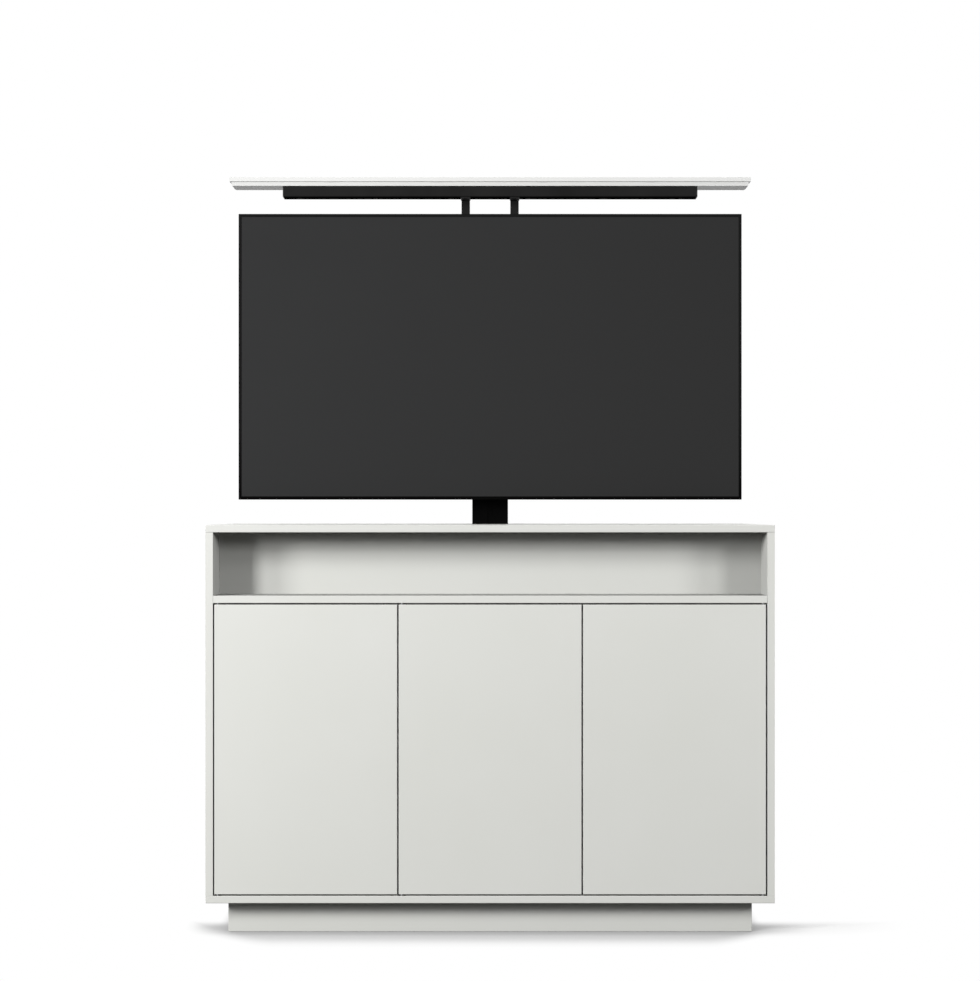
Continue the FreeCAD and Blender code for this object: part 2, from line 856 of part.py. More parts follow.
def glide_ring(width, depth, thickness, z0, outward):
    """Four flat pads on the faces of a stage, outside it or inside it."""
    half_w = width / 2.0
    half_d = depth / 2.0
    pad_w = width * glide_share / 2.0
    pad_d = depth * glide_share / 2.0
    pads = []
    for side in (-1, 1):
        x0 = side * half_w
        x1 = side * (half_w + outward * thickness)
        pads.append(block(min(x0, x1), max(x0, x1), column_middle_y - pad_d, column_middle_y + pad_d,
                          z0, z0 + glide_length))
        y0 = column_middle_y + side * half_d
        y1 = column_middle_y + side * (half_d + outward * thickness)
        pads.append(block(-pad_w, pad_w, min(y0, y1), max(y0, y1), z0, z0 + glide_length))
    return pads


def glide_thickness():
    return stage_play - glide_clearance


def outer_glides():
    width = column_width - 2.0 * column_wall
    depth = column_depth - 2.0 * column_wall
    z0 = column_bottom + stage_length - glide_length
    return glide_ring(width, depth, glide_thickness(), z0, -1)


def middle_glides():
    foot = glide_ring(middle_width, middle_depth, glide_thickness(), middle_bottom, 1)
    head = glide_ring(middle_width - 2.0 * column_wall, middle_depth - 2.0 * column_wall, glide_thickness(),
                      middle_bottom + stage_length - glide_length, -1)
    return foot + head


def inner_glides():
    return glide_ring(inner_width, inner_depth, glide_thickness(), inner_bottom, 1)


def column_base():
    """The foot plate that is bolted to the bottom panel."""
    half = column_width / 2.0 + base_plate_margin + gearbox_width
    y0 = column_front - base_plate_depth_margin
    y1 = column_front + column_depth + base_plate_depth_margin
    plate = block(-half, half, y0, y1, bottom_top, column_bottom)
    bores = []
    for x in (-half + base_plate_margin / 2.0, half - base_plate_margin / 2.0):
        for y in (y0 + base_plate_depth_margin * 2.0, y1 - base_plate_depth_margin * 2.0):
            bores.append(rod(base_bolt_radius, vector(x, y, bottom_top - board),
                             vector(x, y, column_bottom + board)))
    return plate.cut(bores)


def column_bracket():
    """A folded hat bracket that holds the outer stage to the back panel."""
    half = column_width / 2.0
    y0 = column_front + column_depth
    y1 = back_front
    z = bottom_top + bracket_level
    outline = [(-half, y0), (half, y0), (half, y1 - bracket_web), (half + bracket_flange, y1 - bracket_web),
               (half + bracket_flange, y1), (half - bracket_web, y1), (half - bracket_web, y0 + bracket_web),
               (-half + bracket_web, y0 + bracket_web), (-half + bracket_web, y1), (-half - bracket_flange, y1),
               (-half - bracket_flange, y1 - bracket_web), (-half, y1 - bracket_web), (-half, y0)]
    face = Part.Face(Part.makePolygon([vector(x, y, z) for x, y in outline]))
    return face.extrude(vector(0, 0, bracket_height))


# ---------------------------------------------------------------- drive

def gearbox():
    """The worm gearbox beside the foot of the outer stage."""
    x0 = column_width / 2.0
    body = block(x0, x0 + gearbox_width, column_front + gearbox_depth_margin,
                 column_front + column_depth - gearbox_depth_margin,
                 column_bottom, column_bottom + gearbox_height)
    top_edges = [edge for edge in body.Edges
                 if all(abs(v.Point.z - column_bottom - gearbox_height) < 1e-6 for v in edge.Vertexes)
                 and not all(abs(v.Point.x - x0) < 1e-6 for v in edge.Vertexes)]
    return body.makeFillet(gearbox_corner, top_edges)


def lift_motor():
    """An upright motor: neck, can and end cap turned as one profile."""
    z0 = column_bottom + gearbox_height
    z1 = z0 + motor_neck
    z2 = z1 + motor_length
    z3 = z2 + motor_cap
    profile = [vector(0, 0, z0), vector(motor_neck_radius, 0, z0), vector(motor_neck_radius, 0, z1),
               vector(motor_radius, 0, z1), vector(motor_radius, 0, z2), vector(motor_cap_radius, 0, z2),
               vector(motor_cap_radius, 0, z3), vector(0, 0, z3), vector(0, 0, z0)]
    motor = Part.Face(Part.makePolygon(profile)).revolve(vector(0, 0, 0), vector(0, 0, 1), 360)
    motor.translate(vector(motor_x, column_middle_y, 0))
    return motor


def control_box():
    """The drive electronics on the floor of the lift compartment, with its sockets and mains inlet."""
    y0 = opening_front + tv_front_play
    right = inner_half - control_side_distance
    left = right - control_width
    box = fillet_along(block(left, right, y0, y0 + control_depth, bottom_top, bottom_top + control_height),
                       vector(0, 0, 1), control_corner)
    z = bottom_top + control_height / 2.0
    cuts = []
    for n in range(control_port_count):
        y = y0 + control_depth / 2.0 + (n - (control_port_count - 1) / 2.0) * control_port_pitch
        cuts.append(block(left - board, left + control_port_depth, y - control_port_width / 2.0,
                          y + control_port_width / 2.0, z - control_port_height / 2.0,
                          z + control_port_height / 2.0))
    y = y0 + control_depth / 2.0
    cuts.append(block(right - control_inlet_depth, right + board, y - control_inlet_width / 2.0,
                      y + control_inlet_width / 2.0, z - control_inlet_height / 2.0,
                      z + control_inlet_height / 2.0))
    return box.cut(cuts)


def build_carcase():
    save("side_panel_left", side_panel(-1))
    save("side_panel_right", side_panel(1))
    save("top_panel", top_panel())
    save("bottom_panel", bottom_panel())
    save("niche_shelf", niche_shelf())
    save("niche_back", niche_wall(), niche_rear_board())
    save("divider_panel", divider_panel())
    save("partition_left", partition(partition_middles[0]))
    save("partition_right", partition(partition_middles[1]))
    save("back_panel", back_panel())
    save("back_battens", back_batten(-1), back_batten(1))
    save("cable_grommet", cable_grommet())
    save("plinth_front", plinth_front())
    save("plinth_back", plinth_back())
    save("plinth_sides", plinth_side(-1), plinth_side(1))
    save("plinth_braces", *plinth_braces())
    save("levelling_feet", *levelling_feet())
    save("shelf_supports", *shelf_supports())
    for name, walls in zip(door_names, compartments()):
        save("shelf_" + name, loose_shelf(walls))


def build_doors():
    save("pivot_plates", *pivot_plates())
    save("latch_bodies", *[latch_body(index) for index in range(door_count)])
    for index, name in enumerate(door_names):
        save("door_" + name, door(index))
        save("door_pins_" + name, *pivot_pins(index))
        save("latch_strike_" + name, latch_strike(index))
        save("latch_plunger_" + name, latch_plunger(index))


def build_lift():
    save("column_base", column_base())
    save("column_outer", stage(column_width, column_depth, column_bottom))
    save("column_middle", stage(middle_width, middle_depth, middle_bottom))
    save("column_inner", stage(inner_width, inner_depth, inner_bottom))
    save("outer_glides", *outer_glides())
    save("middle_glides", *middle_glides())
    save("inner_glides", *inner_glides())
    save("column_bracket", column_bracket())
    save("gearbox", gearbox())
    save("lift_motor", lift_motor())
    save("control_box", control_box())
    save("head_bracket", head_bracket())
    save("upright_left", upright(-1))
    save("upright_right", upright(1))
    save("mount_plate", mount_plate())
    save("tv_rail_left", tv_rail(-1))
    save("tv_rail_right", tv_rail(1))
    save("tv_bolts", *tv_bolts())


def build_television_and_lid():
    save("tv_bezel", tv_bezel())
    save("tv_screen", tv_screen())
    save("tv_rear_cover", tv_rear_cover())
    save("lid_bar", lid_bar())
    save("lid_bar_caps", *lid_bar_caps())
    save("lid_under_board", lid_under_board())
    save("lid_board", lid_board())


os.makedirs("parts", exist_ok=True)
build_carcase()
build_doors()
build_lift()
build_television_and_lid()
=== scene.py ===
import json
import math

import bmesh
import bpy
from mathutils import Matrix, Vector


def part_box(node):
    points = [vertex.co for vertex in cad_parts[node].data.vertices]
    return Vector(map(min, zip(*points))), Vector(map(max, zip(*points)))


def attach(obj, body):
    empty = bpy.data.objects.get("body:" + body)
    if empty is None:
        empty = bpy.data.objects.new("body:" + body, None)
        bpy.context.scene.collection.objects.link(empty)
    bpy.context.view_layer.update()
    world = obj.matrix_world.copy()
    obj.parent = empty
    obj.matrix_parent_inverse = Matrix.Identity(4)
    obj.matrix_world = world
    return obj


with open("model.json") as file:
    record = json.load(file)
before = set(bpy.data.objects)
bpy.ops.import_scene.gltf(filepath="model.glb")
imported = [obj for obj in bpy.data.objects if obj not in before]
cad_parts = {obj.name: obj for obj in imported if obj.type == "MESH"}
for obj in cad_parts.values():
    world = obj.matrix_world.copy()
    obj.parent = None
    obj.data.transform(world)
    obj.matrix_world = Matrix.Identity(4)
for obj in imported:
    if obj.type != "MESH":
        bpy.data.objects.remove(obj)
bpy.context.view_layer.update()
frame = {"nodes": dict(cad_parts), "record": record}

nodes = frame["nodes"]

# Metres. X runs to the right, Y to the rear and Z up, from the floor under the cabinet's middle.
UP, DOWN = (0, 0, 1), (0, 0, -1)
REARWARD, FORWARD = (0, 1, 0), (0, -1, 0)
COMPARTMENTS = ("left", "centre", "right")

# ---------------- sizes of the fittings
SMOOTH_ANGLE = math.radians(35)
SKIN_GAP = 0.00005  # how deep a fitting is let into what carries it

SCREW_SIDES = 12
SOCKET_SHARE = 0.45  # radius of a screw's socket, as a share of its head
SCREWS = {  # radius and height of the head
    "back_panel_screws": (0.0042, 0.0017),
    "shelf_support_screws": (0.0026, 0.0012),
    "latch_screws": (0.0032, 0.0014),
    "strike_screws": (0.0019, 0.00022),
    "foot_plate_screws": (0.0036, 0.0018),
    "bracket_screws": (0.0038, 0.0016),
    "mount_plate_screws": (0.0055, 0.0030),
    "motor_cap_screws": (0.0026, 0.0022),
    "gearbox_screws": (0.0042, 0.0034),
    "control_box_screws": (0.0030, 0.0016),
    "set_cover_screws": (0.0032, 0.0011),
    "bar_screws": (0.0045, 0.0020),
}
BOLTS = {  # radius and height of the head, radius and height of the washer
    "column_base_bolts": (0.0070, 0.0053, 0.0088, 0.0016),
    "head_bolts": (0.0065, 0.0050, 0.0080, 0.0016),
}
WASHER_SIDES = 24

BACK_SCREW_SIDE_INSET = 0.010
BACK_SCREW_END_INSET = 0.012
BACK_SCREW_ROWS = 6
SUPPORT_LEG_FACE = 0.001  # the leg's free face, in from the shelf's end
SUPPORT_LEG_DROP = 0.0072
SUPPORT_HALF_WIDTH = 0.007
LATCH_SCREW_FRONT_INSET = 0.016
LATCH_SCREW_REAR_INSET = 0.012
STRIKE_SCREW_INSET = 0.0030
STRIKE_SOCKET_DEPTH = 0.9
FOOT_PLATE_HALF = 0.028
FOOT_PLATE_THICKNESS = 0.004
FOOT_SCREW_REACH = 0.021

BUMPER_RADIUS = 0.0030
BUMPER_THICKNESS = 0.0032
BUMPER_INSET = 0.0035
BUMPER_ABOVE_FOOT = 0.040
BUMPER_BELOW_TOP = 0.060

BASE_BOLT_INSET_X = 0.0225
BASE_BOLT_INSET_Y = 0.012
HEAD_CAP_THICKNESS = 0.006
HEAD_BOLT_REACH = 0.020
BRACKET_SCREW_INSET = 0.010
BRACKET_THICKNESS = 0.004
MOUNT_SCREW_INSET = 0.030

UPRIGHT_HALF = 0.011
BEAD_RADIUS = 0.0019
BEAD_PITCH = 0.0026
BEAD_LIFT = 0.0003  # how far a bead's middle stands off the corner that it fills
RAIL_BEAD_LIFT = 0.0004
RAIL_BEAD_LENGTH = 0.026
RAIL_BEAD_RISE = 0.014
RAIL_BEAD_DROP = 0.040
BRACKET_BEAD_LENGTH = 0.030
BRACKET_BEAD_RISE = 0.012
BRACKET_BEAD_DROP = 0.045
BAR_BEAD_INSET = 0.004

COLLAR_WALL = 0.0012
COLLAR_SKIRT = 0.009
COLLAR_RIM = 0.0012
COLLAR_CORNER = 0.005
COLLAR_EDGE = 0.0005
COLLAR_CLEARANCE = 0.0003
STAGE_WALL = 0.004

BAND_WIDTH = 0.0056
BAND_EDGE = 0.0006
BAND_SUNK = 0.0004  # how deep a clamp band's inside lies in the motor
BAND_RISE = 0.016
BAND_DROP = 0.022
MOTOR_SCREW_CIRCLE = 0.015
GEARBOX_SCREW_INSET = 0.009
GEARBOX_SCREW_DROP = 0.003
BOX_SCREW_INSET = 0.009
BOX_LAMP_PLACE = (0.026, 0.012)  # in from the box's left and front
BOX_SOCKETS = 4
BOX_SOCKET_PITCH = 0.022
BOX_SOCKET_INSET = 0.0078

SOCKET_ROW = (0.330, 1.2400)  # X and Z of the middle of the television's connector row
SOCKET_RECESS = 0.009
SOCKET_RISE = 0.006
JACK_DROP = 0.013
COVER_BORDER_DROP = 0.019
COVER_SCREW_INSET = 0.022
COVER_SCREW_STEP = 0.34
SCREEN_SIDES = (-0.66, 0.66)  # X of the screen's two edges, across which the painted reflection fades
BEZEL_SHADE_FADE = (1.30, 1.08)  # Z between which painted shade turns the bezel black

PAD_THICKNESS = 0.0008
PAD_WIDTH = 0.0016
PAD_EDGE = 0.0005
PAD_CHAMFER = 0.0002
PAD_HALF_LENGTH = 0.012
PAD_MIDDLE_Y = 0.150
PAD_PLACES = (-0.42, -0.14, 0.14, 0.42)
BAR_SCREW_PLACES = (-0.50, -0.30, -0.10, 0.10, 0.30, 0.50)


# ---------------- node helpers
def add_node(tree, kind, inputs=None, **settings):
    """A node with its settings and its unlinked inputs filled in."""
    node = tree.nodes.new(kind)
    for name, value in settings.items():
        setattr(node, name, value)
    for name, value in (inputs or {}).items():
        node.inputs[name].default_value = value
    return node


def feed(tree, socket, value):
    """Link a socket to another one, or give it a plain value."""
    if isinstance(value, bpy.types.NodeSocket):
        tree.links.new(value, socket)
    else:
        socket.default_value = value


def math_node(tree, operation, *terms, clamp=False):
    """One step of arithmetic on sockets or numbers; returns the result's socket."""
    node = add_node(tree, "ShaderNodeMath", operation=operation, use_clamp=clamp)
    for socket, term in zip(node.inputs, terms):
        feed(tree, socket, term)
    return node.outputs[0]


def ranged(tree, value, start, end, low=0.0, high=1.0, kind="LINEAR"):
    """low where the value is at start, high where it is at end, and held there beyond them."""
    node = add_node(tree, "ShaderNodeMapRange", interpolation_type=kind,
                    inputs={"From Min": start, "From Max": end, "To Min": low, "To Max": high})
    tree.links.new(value, node.inputs["Value"])
    return node.outputs["Result"]


def faded(tree, value, start, end):
    """A smooth step from 0 at start to 1 at end."""
    return ranged(tree, value, start, end, kind="SMOOTHSTEP")


def mixed(tree, share, first, second, kind="FLOAT"):
    """first where the share is 0, second where it is 1; both may be sockets or plain values."""
    node = add_node(tree, "ShaderNodeMix", data_type=kind)
    entry, result = {"FLOAT": (2, 0), "RGBA": (6, 2)}[kind]
    feed(tree, node.inputs["Factor"], share)
    feed(tree, node.inputs[entry], first)
    feed(tree, node.inputs[entry + 1], second)
    return node.outputs[result]


def mix_colour(tree, mask, first, second):
    """The first colour where the mask is 0, the second where it is 1."""
    return mixed(tree, mask, first, second, "RGBA")


def object_place(tree):
    """Where a point lies on its piece."""
    return add_node(tree, "ShaderNodeTexCoord").outputs["Object"]


def split(tree, vector, axis):
    """One part of a vector."""
    parts = add_node(tree, "ShaderNodeSeparateXYZ")
    tree.links.new(vector, parts.inputs[0])
    return parts.outputs[axis]


def object_noise(tree, scale, detail, roughness, stretch=None):
    """Noise that stays with the piece; a stretch draws it out along an axis."""
    place = object_place(tree)
    if stretch is not None:
        pull = add_node(tree, "ShaderNodeVectorMath", operation="MULTIPLY")
        tree.links.new(place, pull.inputs[0])
        tree.links.new(stretch, pull.inputs[1])
        place = pull.outputs["Vector"]
    noise = add_node(tree, "ShaderNodeTexNoise", inputs={"Detail": detail, "Roughness": roughness})
    tree.links.new(place, noise.inputs["Vector"])
    feed(tree, noise.inputs["Scale"], scale)
    return noise.outputs["Fac"]


def new_group(name, inputs, outputs):
    """An empty shader group with named sockets; returns its tree, what enters and what leaves."""
    tree = bpy.data.node_groups.new(name, "ShaderNodeTree")
    for socket, value in inputs.items():
        kind = "Float" if isinstance(value, float) else {3: "Vector", 4: "Color"}[len(value)]
        item = tree.interface.new_socket(socket, in_out="INPUT", socket_type="NodeSocket" + kind)
        item.default_value = value
    for socket, kind in outputs.items():
        tree.interface.new_socket(socket, in_out="OUTPUT", socket_type="NodeSocket" + kind)
    return tree, tree.nodes.new("NodeGroupInput").outputs, tree.nodes.new("NodeGroupOutput").inputs


def sprayed_skin_group():
    """Sprayed or moulded skin: cloudy tone over a large scale, and fine grain as a height."""
    tree, entry, leave = new_group(
        "sprayed_skin",
        {"Colour": (0.8, 0.8, 0.8, 1.0), "Shade": (0.7, 0.7, 0.7, 1.0), "Cloud Scale": 2.0,
         "Grain Scale": 500.0, "Roughness": 0.4, "Roughness Spread": 0.08},
        {"Colour": "Color", "Roughness": "Float", "Height": "Float"})
    cloud = object_noise(tree, entry["Cloud Scale"], detail=3.0, roughness=0.55)
    grain = object_noise(tree, entry["Grain Scale"], detail=2.0, roughness=0.5)
    patch = ranged(tree, cloud, 0.3, 0.7)
    tone = mix_colour(tree, patch, entry["Shade"], entry["Colour"])
    tree.links.new(tone, leave["Colour"])
    gloss = math_node(tree, "MULTIPLY_ADD", math_node(tree, "SUBTRACT", grain, 0.5),
                      entry["Roughness Spread"], entry["Roughness"])
    gloss = math_node(tree, "MULTIPLY_ADD", patch, entry["Roughness Spread"], gloss)
    tree.links.new(gloss, leave["Roughness"])
    tree.links.new(grain, leave["Height"])
    return tree


def worn_edge_group():
    """A mask along outer edges, broken up by noise, where a coating rubs through first."""
    tree, entry, leave = new_group(
        "worn_edge", {"Width": 0.001, "Patch Scale": 60.0, "Amount": 0.5}, {"Mask": "Float"})
    rounded = add_node(tree, "ShaderNodeBevel", samples=4)
    tree.links.new(entry["Width"], rounded.inputs["Radius"])
    turn = add_node(tree, "ShaderNodeVectorMath", operation="DOT_PRODUCT")
    tree.links.new(rounded.outputs["Normal"], turn.inputs[0])
    tree.links.new(add_node(tree, "ShaderNodeNewGeometry").outputs["Normal"], turn.inputs[1])
    edge = ranged(tree, turn.outputs["Value"], 0.995, 0.80)
    patch = object_noise(tree, entry["Patch Scale"], detail=4.0, roughness=0.65)
    broken = math_node(tree, "MULTIPLY", edge, ranged(tree, patch, 0.42, 0.62))
    mask = math_node(tree, "MULTIPLY", broken, entry["Amount"], clamp=True)
    tree.links.new(mask, leave["Mask"])
    return tree


def drawn_streaks_group():
    """Fine streaks along one axis, as drawing, brushing or sliding leaves them."""
    tree, entry, leave = new_group(
        "drawn_streaks", {"Stretch": (400.0, 400.0, 4.0)}, {"Streak": "Float"})
    streak = object_noise(tree, 1.0, detail=4.0, roughness=0.6, stretch=entry["Stretch"])
    tree.links.new(streak, leave["Streak"])
    return tree


def settled_dust_group():
    """A thin film of dust on what faces up, thicker in patches."""
    tree, entry, leave = new_group(
        "settled_dust", {"Amount": 0.3, "Patch Scale": 9.0}, {"Mask": "Float"})
    face = add_node(tree, "ShaderNodeNewGeometry").outputs["Normal"]
    upward = ranged(tree, split(tree, face, "Z"), 0.6, 1.0)
    patch = object_noise(tree, entry["Patch Scale"], detail=5.0, roughness=0.7)
    film = math_node(tree, "MULTIPLY", upward, patch)
    mask = math_node(tree, "MULTIPLY", film, entry["Amount"], clamp=True)
    tree.links.new(mask, leave["Mask"])
    return tree


SPRAYED_SKIN = sprayed_skin_group()
WORN_EDGE = worn_edge_group()
DRAWN_STREAKS = drawn_streaks_group()
SETTLED_DUST = settled_dust_group()


def use_group(tree, group, **inputs):
    """A shader group placed in a material, with its own values."""
    node = tree.nodes.new("ShaderNodeGroup")
    node.node_tree = group
    for name, value in inputs.items():
        node.inputs[name.replace("_", " ")].default_value = value
    return node.outputs


# ---------------- finishes
def grey(value, warmth=0.0):
    """A near-grey colour; warmth lifts red and lowers blue by that share."""
    return (value * (1.0 + warmth), value, value * (1.0 - warmth), 1.0)


def cream(value, depth=1.0):
    """A white with a trace of yellow-green; depth deepens that tint."""
    return (value * (1.0 - 0.006 * depth), value, value * (1.0 - 0.045 * depth), 1.0)


def start_finish(name, specular, colour, shade, clouds, grain, roughness, spread, **shader_values):
    """A material with one Principled shader; returns it with its tree and its sprayed skin."""
    finish = bpy.data.materials.new(name)
    finish.use_nodes = True
    tree = finish.node_tree
    shader = tree.nodes["Principled BSDF"]
    shader.inputs["Specular IOR Level"].default_value = specular
    for socket, value in shader_values.items():
        shader.inputs[socket.replace("_", " ")].default_value = value
    skin = use_group(tree, SPRAYED_SKIN, Colour=colour, Shade=shade, Cloud_Scale=clouds,
                     Grain_Scale=grain, Roughness=roughness, Roughness_Spread=spread)
    tree.links.new(skin["Roughness"], shader.inputs["Roughness"])
    return finish, tree, skin


def end_finish(finish, colour, height, strength, distance, edge_radius=0.0):
    """Feed colour and height to the shader, over edges that the light sees as slightly rounded."""
    tree = finish.node_tree
    shader = tree.nodes["Principled BSDF"]
    tree.links.new(colour, shader.inputs["Base Color"])
    bump = add_node(tree, "ShaderNodeBump", inputs={"Strength": strength, "Distance": distance})
    tree.links.new(height, bump.inputs["Height"])
    if edge_radius:
        soft = add_node(tree, "ShaderNodeBevel", samples=4, inputs={"Radius": edge_radius})
        tree.links.new(soft.outputs["Normal"], bump.inputs["Normal"])
    tree.links.new(bump.outputs["Normal"], shader.inputs["Normal"])
    return finish


def rubbed(tree, colour, bare, width, patches, amount):
    """The colour, with another one showing along its rubbed edges."""
    edge = use_group(tree, WORN_EDGE, Width=width, Patch_Scale=patches, Amount=amount)
    return mix_colour(tree, edge["Mask"], colour, bare)


def dusty(tree, colour, dust, patches, amount):
    """The colour, with dust on what faces up."""
    film = use_group(tree, SETTLED_DUST, Amount=amount, Patch_Scale=patches)
    return mix_colour(tree, film["Mask"], colour, dust)


def across_piece(tree, axis, start, end):
    """0 to 1 along one axis of the object, between two places on it."""
    return ranged(tree, split(tree, object_place(tree), axis), start, end)


def lacquer_finish(name, tone, tint, wear, specular, roughness):
    """Sprayed satin lacquer: orange peel, faint clouds, thin marks on the edges, a little dust."""
    finish, tree, skin = start_finish(
        name, specular, cream(tone, tint), cream(tone * 0.975, tint * 1.2),
        clouds=2.6, grain=420.0, roughness=roughness, spread=0.07)
    colour = dusty(tree, skin["Colour"], grey(tone * 0.93, 0.012), patches=7.0, amount=0.10)
    colour = rubbed(tree, colour, grey(tone * 0.86, 0.016), width=0.0009, patches=38.0,
                    amount=wear)
    return end_finish(finish, colour, skin["Height"], strength=0.05, distance=0.0002)


def back_board_finish():
    """Painted fibreboard: matt, with short fibres showing through the paint."""
    finish, tree, skin = start_finish(
        "back_board_paint", 0.25, grey(0.69, 0.002), grey(0.655, 0.006),
        clouds=5.0, grain=900.0, roughness=0.62, spread=0.10)
    fibre = use_group(tree, DRAWN_STREAKS, Stretch=(900.0, 900.0, 110.0))
    colour = dusty(tree, skin["Colour"], grey(0.60, 0.03), patches=14.0, amount=0.25)
    return end_finish(finish, colour, fibre["Streak"], strength=0.22, distance=0.0003)


def powder_coat_finish(name, tone, specular, streaked):
    """Satin black powder coat: pebbled, rubbed grey on its edges, and streaked where it slides."""
    finish, tree, skin = start_finish(
        name, specular, grey(tone * 1.15, 0.01), grey(tone * 0.85, 0.01),
        clouds=9.0, grain=1300.0, roughness=0.46, spread=0.10)
    colour = rubbed(tree, skin["Colour"], grey(tone * 3.2 + 0.02), width=0.0010, patches=70.0,
                    amount=0.35)
    if streaked:
        slid = use_group(tree, DRAWN_STREAKS, Stretch=(520.0, 520.0, 3.0))
        marks = ranged(tree, slid["Streak"], 0.56, 0.72, high=0.35)
        colour = mix_colour(tree, marks, colour, grey(tone * 2.2))
    return end_finish(finish, colour, skin["Height"], strength=0.35, distance=0.0002,
                      edge_radius=0.0006)


def zinc_finish():
    """Zinc-plated steel: brushed one way, with cloudy passivation and brighter edges."""
    finish, tree, skin = start_finish(
        "zinc_plate", 0.5, (0.58, 0.58, 0.59, 1.0), (0.50, 0.51, 0.54, 1.0),
        clouds=55.0, grain=1500.0, roughness=0.32, spread=0.10, Metallic=1.0)
    brushed = use_group(tree, DRAWN_STREAKS, Stretch=(900.0, 900.0, 60.0))
    colour = rubbed(tree, skin["Colour"], (0.74, 0.74, 0.75, 1.0), width=0.0006, patches=90.0,
                    amount=0.6)
    return end_finish(finish, colour, brushed["Streak"], strength=0.25, distance=0.00015,
                      edge_radius=0.0004)


def moulded_finish(name, tone, roughness, warmth=0.0, pebble=0.30):
    """Moulded plastic: spark-eroded texture, faint flow clouds, polished and paler edges."""
    finish, tree, skin = start_finish(
        name, 0.35, grey(tone * 1.06, warmth), grey(tone * 0.92, warmth),
        clouds=14.0, grain=1100.0, roughness=roughness, spread=0.10)
    colour = rubbed(tree, skin["Colour"], grey(tone * 1.5 + 0.01, warmth), width=0.0007,
                    patches=80.0, amount=0.30)
    colour = dusty(tree, colour, grey(0.30, 0.03), patches=30.0, amount=0.16)
    return end_finish(finish, colour, skin["Height"], strength=pebble, distance=0.0002,
                      edge_radius=0.0005)


def screen_finish():
    """Anti-glare panel: near black, with faint wiped patches of haze, and a painted reflection
    that is palest at the left and fades towards the right.
    """
    finish, tree, skin = start_finish(
        "screen_panel", 0.40, (0.0088, 0.0090, 0.0094, 1.0), (0.0072, 0.0074, 0.0078, 1.0),
        clouds=1.4, grain=2600.0, roughness=0.30, spread=0.05)
    wiped = use_group(tree, DRAWN_STREAKS, Stretch=(3.0, 3.0, 16.0))
    haze = ranged(tree, wiped["Streak"], 0.35, 0.75, high=0.22)
    colour = mix_colour(tree, haze, skin["Colour"], (0.0110, 0.0112, 0.0115, 1.0))
    # Painted reflection: the panel is paler at its left edge and darker towards its right edge.
    painted_reflection_fade = across_piece(tree, "X", *SCREEN_SIDES)
    colour = mix_colour(tree, painted_reflection_fade, colour, (0.0012, 0.0012, 0.0013, 1.0))
    return end_finish(finish, colour, skin["Height"], strength=0.03, distance=0.0001)


def bezel_finish():
    """Matt moulded frame of the screen: a trace paler at the top as painted light, and black below
    as painted shade.
    """
    finish, tree, skin = start_finish(
        "screen_frame", 0.04, grey(0.0095), grey(0.0075),
        clouds=14.0, grain=1100.0, roughness=0.50, spread=0.10)
    # Painted light and shade: the frame's upper part stays a trace paler and its lower part is
    # painted black.
    painted_shade_below = across_piece(tree, "Z", *BEZEL_SHADE_FADE)
    colour = mix_colour(tree, painted_shade_below, skin["Colour"], grey(0.0010))
    colour = rubbed(tree, colour, grey(0.020), width=0.0005, patches=80.0, amount=0.10)
    return end_finish(finish, colour, skin["Height"], strength=0.20, distance=0.0002,
                      edge_radius=0.0010)


def felt_finish():
    """Pressed felt: matt, matted fibres."""
    finish, tree, skin = start_finish(
        "pressed_felt", 0.15, grey(0.58, 0.02), grey(0.46, 0.03),
        clouds=120.0, grain=2200.0, roughness=0.88, spread=0.08,
        Sheen_Weight=0.25, Sheen_Roughness=0.6)
    return end_finish(finish, skin["Colour"], skin["Height"], strength=0.6, distance=0.0003)


FINISHES = {
    "lacquer": lacquer_finish("cabinet_lacquer", tone=0.72, tint=1.0, wear=0.08,
                              specular=0.15, roughness=0.40),
    "lacquer_lid": lacquer_finish("lid_lacquer", tone=0.735, tint=0.35, wear=0.02,
                                  specular=0.32, roughness=0.33),
    "back_board": back_board_finish(),
    "column_black": powder_coat_finish("column_powder_coat", 0.0020, 0.04, streaked=True),
    "frame_black": powder_coat_finish("frame_powder_coat", 0.0150, 0.05, streaked=False),
    "steel": zinc_finish(),
    "tv_plastic": moulded_finish("set_housing", 0.0085, 0.42),
    "tv_glass": screen_finish(),
    "black_plastic": moulded_finish("black_moulding", 0.018, 0.50),
    "white_plastic": moulded_finish("white_moulding", 0.70, 0.42, warmth=0.015, pebble=0.12),
    "grey_plastic": moulded_finish("grey_moulding", 0.28, 0.48),
}
FELT = felt_finish()
NODE_FINISHES = {
    "tv_bezel": bezel_finish(),
    "lid_bar": powder_coat_finish("bar_powder_coat", 0.0165, 0.0, streaked=False),
    "top_panel": lacquer_finish("top_lacquer", tone=0.715, tint=0.9, wear=0.06,
                                specular=0.32, roughness=0.30),
}


def dress_nodes():
    """Give every node of the frame its own finish, or else that of its slot."""
    for row in frame["record"]["subparts"]:
        finish = NODE_FINISHES.get(row["node"], FINISHES[row["material_slot"]])
        materials = nodes[row["node"]].data.materials
        materials.clear()
        materials.append(finish)


# ---------------- mesh helpers
def settle(name, shape, slot, body, finish=None):
    """Turn a finished bmesh into a piece that rides on a body and takes a slot's finish."""
    bmesh.ops.recalc_face_normals(shape, faces=shape.faces)
    mesh = bpy.data.meshes.new(name)
    shape.to_mesh(mesh)
    shape.free()
    mesh.shade_smooth()
    mesh.set_sharp_from_angle(angle=SMOOTH_ANGLE)
    mesh.materials.append(finish or FINISHES[slot])
    piece = bpy.data.objects.new(name, mesh)
    bpy.context.scene.collection.objects.link(piece)
    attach(piece, body)


def ends(low, high, inset):
    """The two places that lie an inset inside a range."""
    return low + inset, high - inset


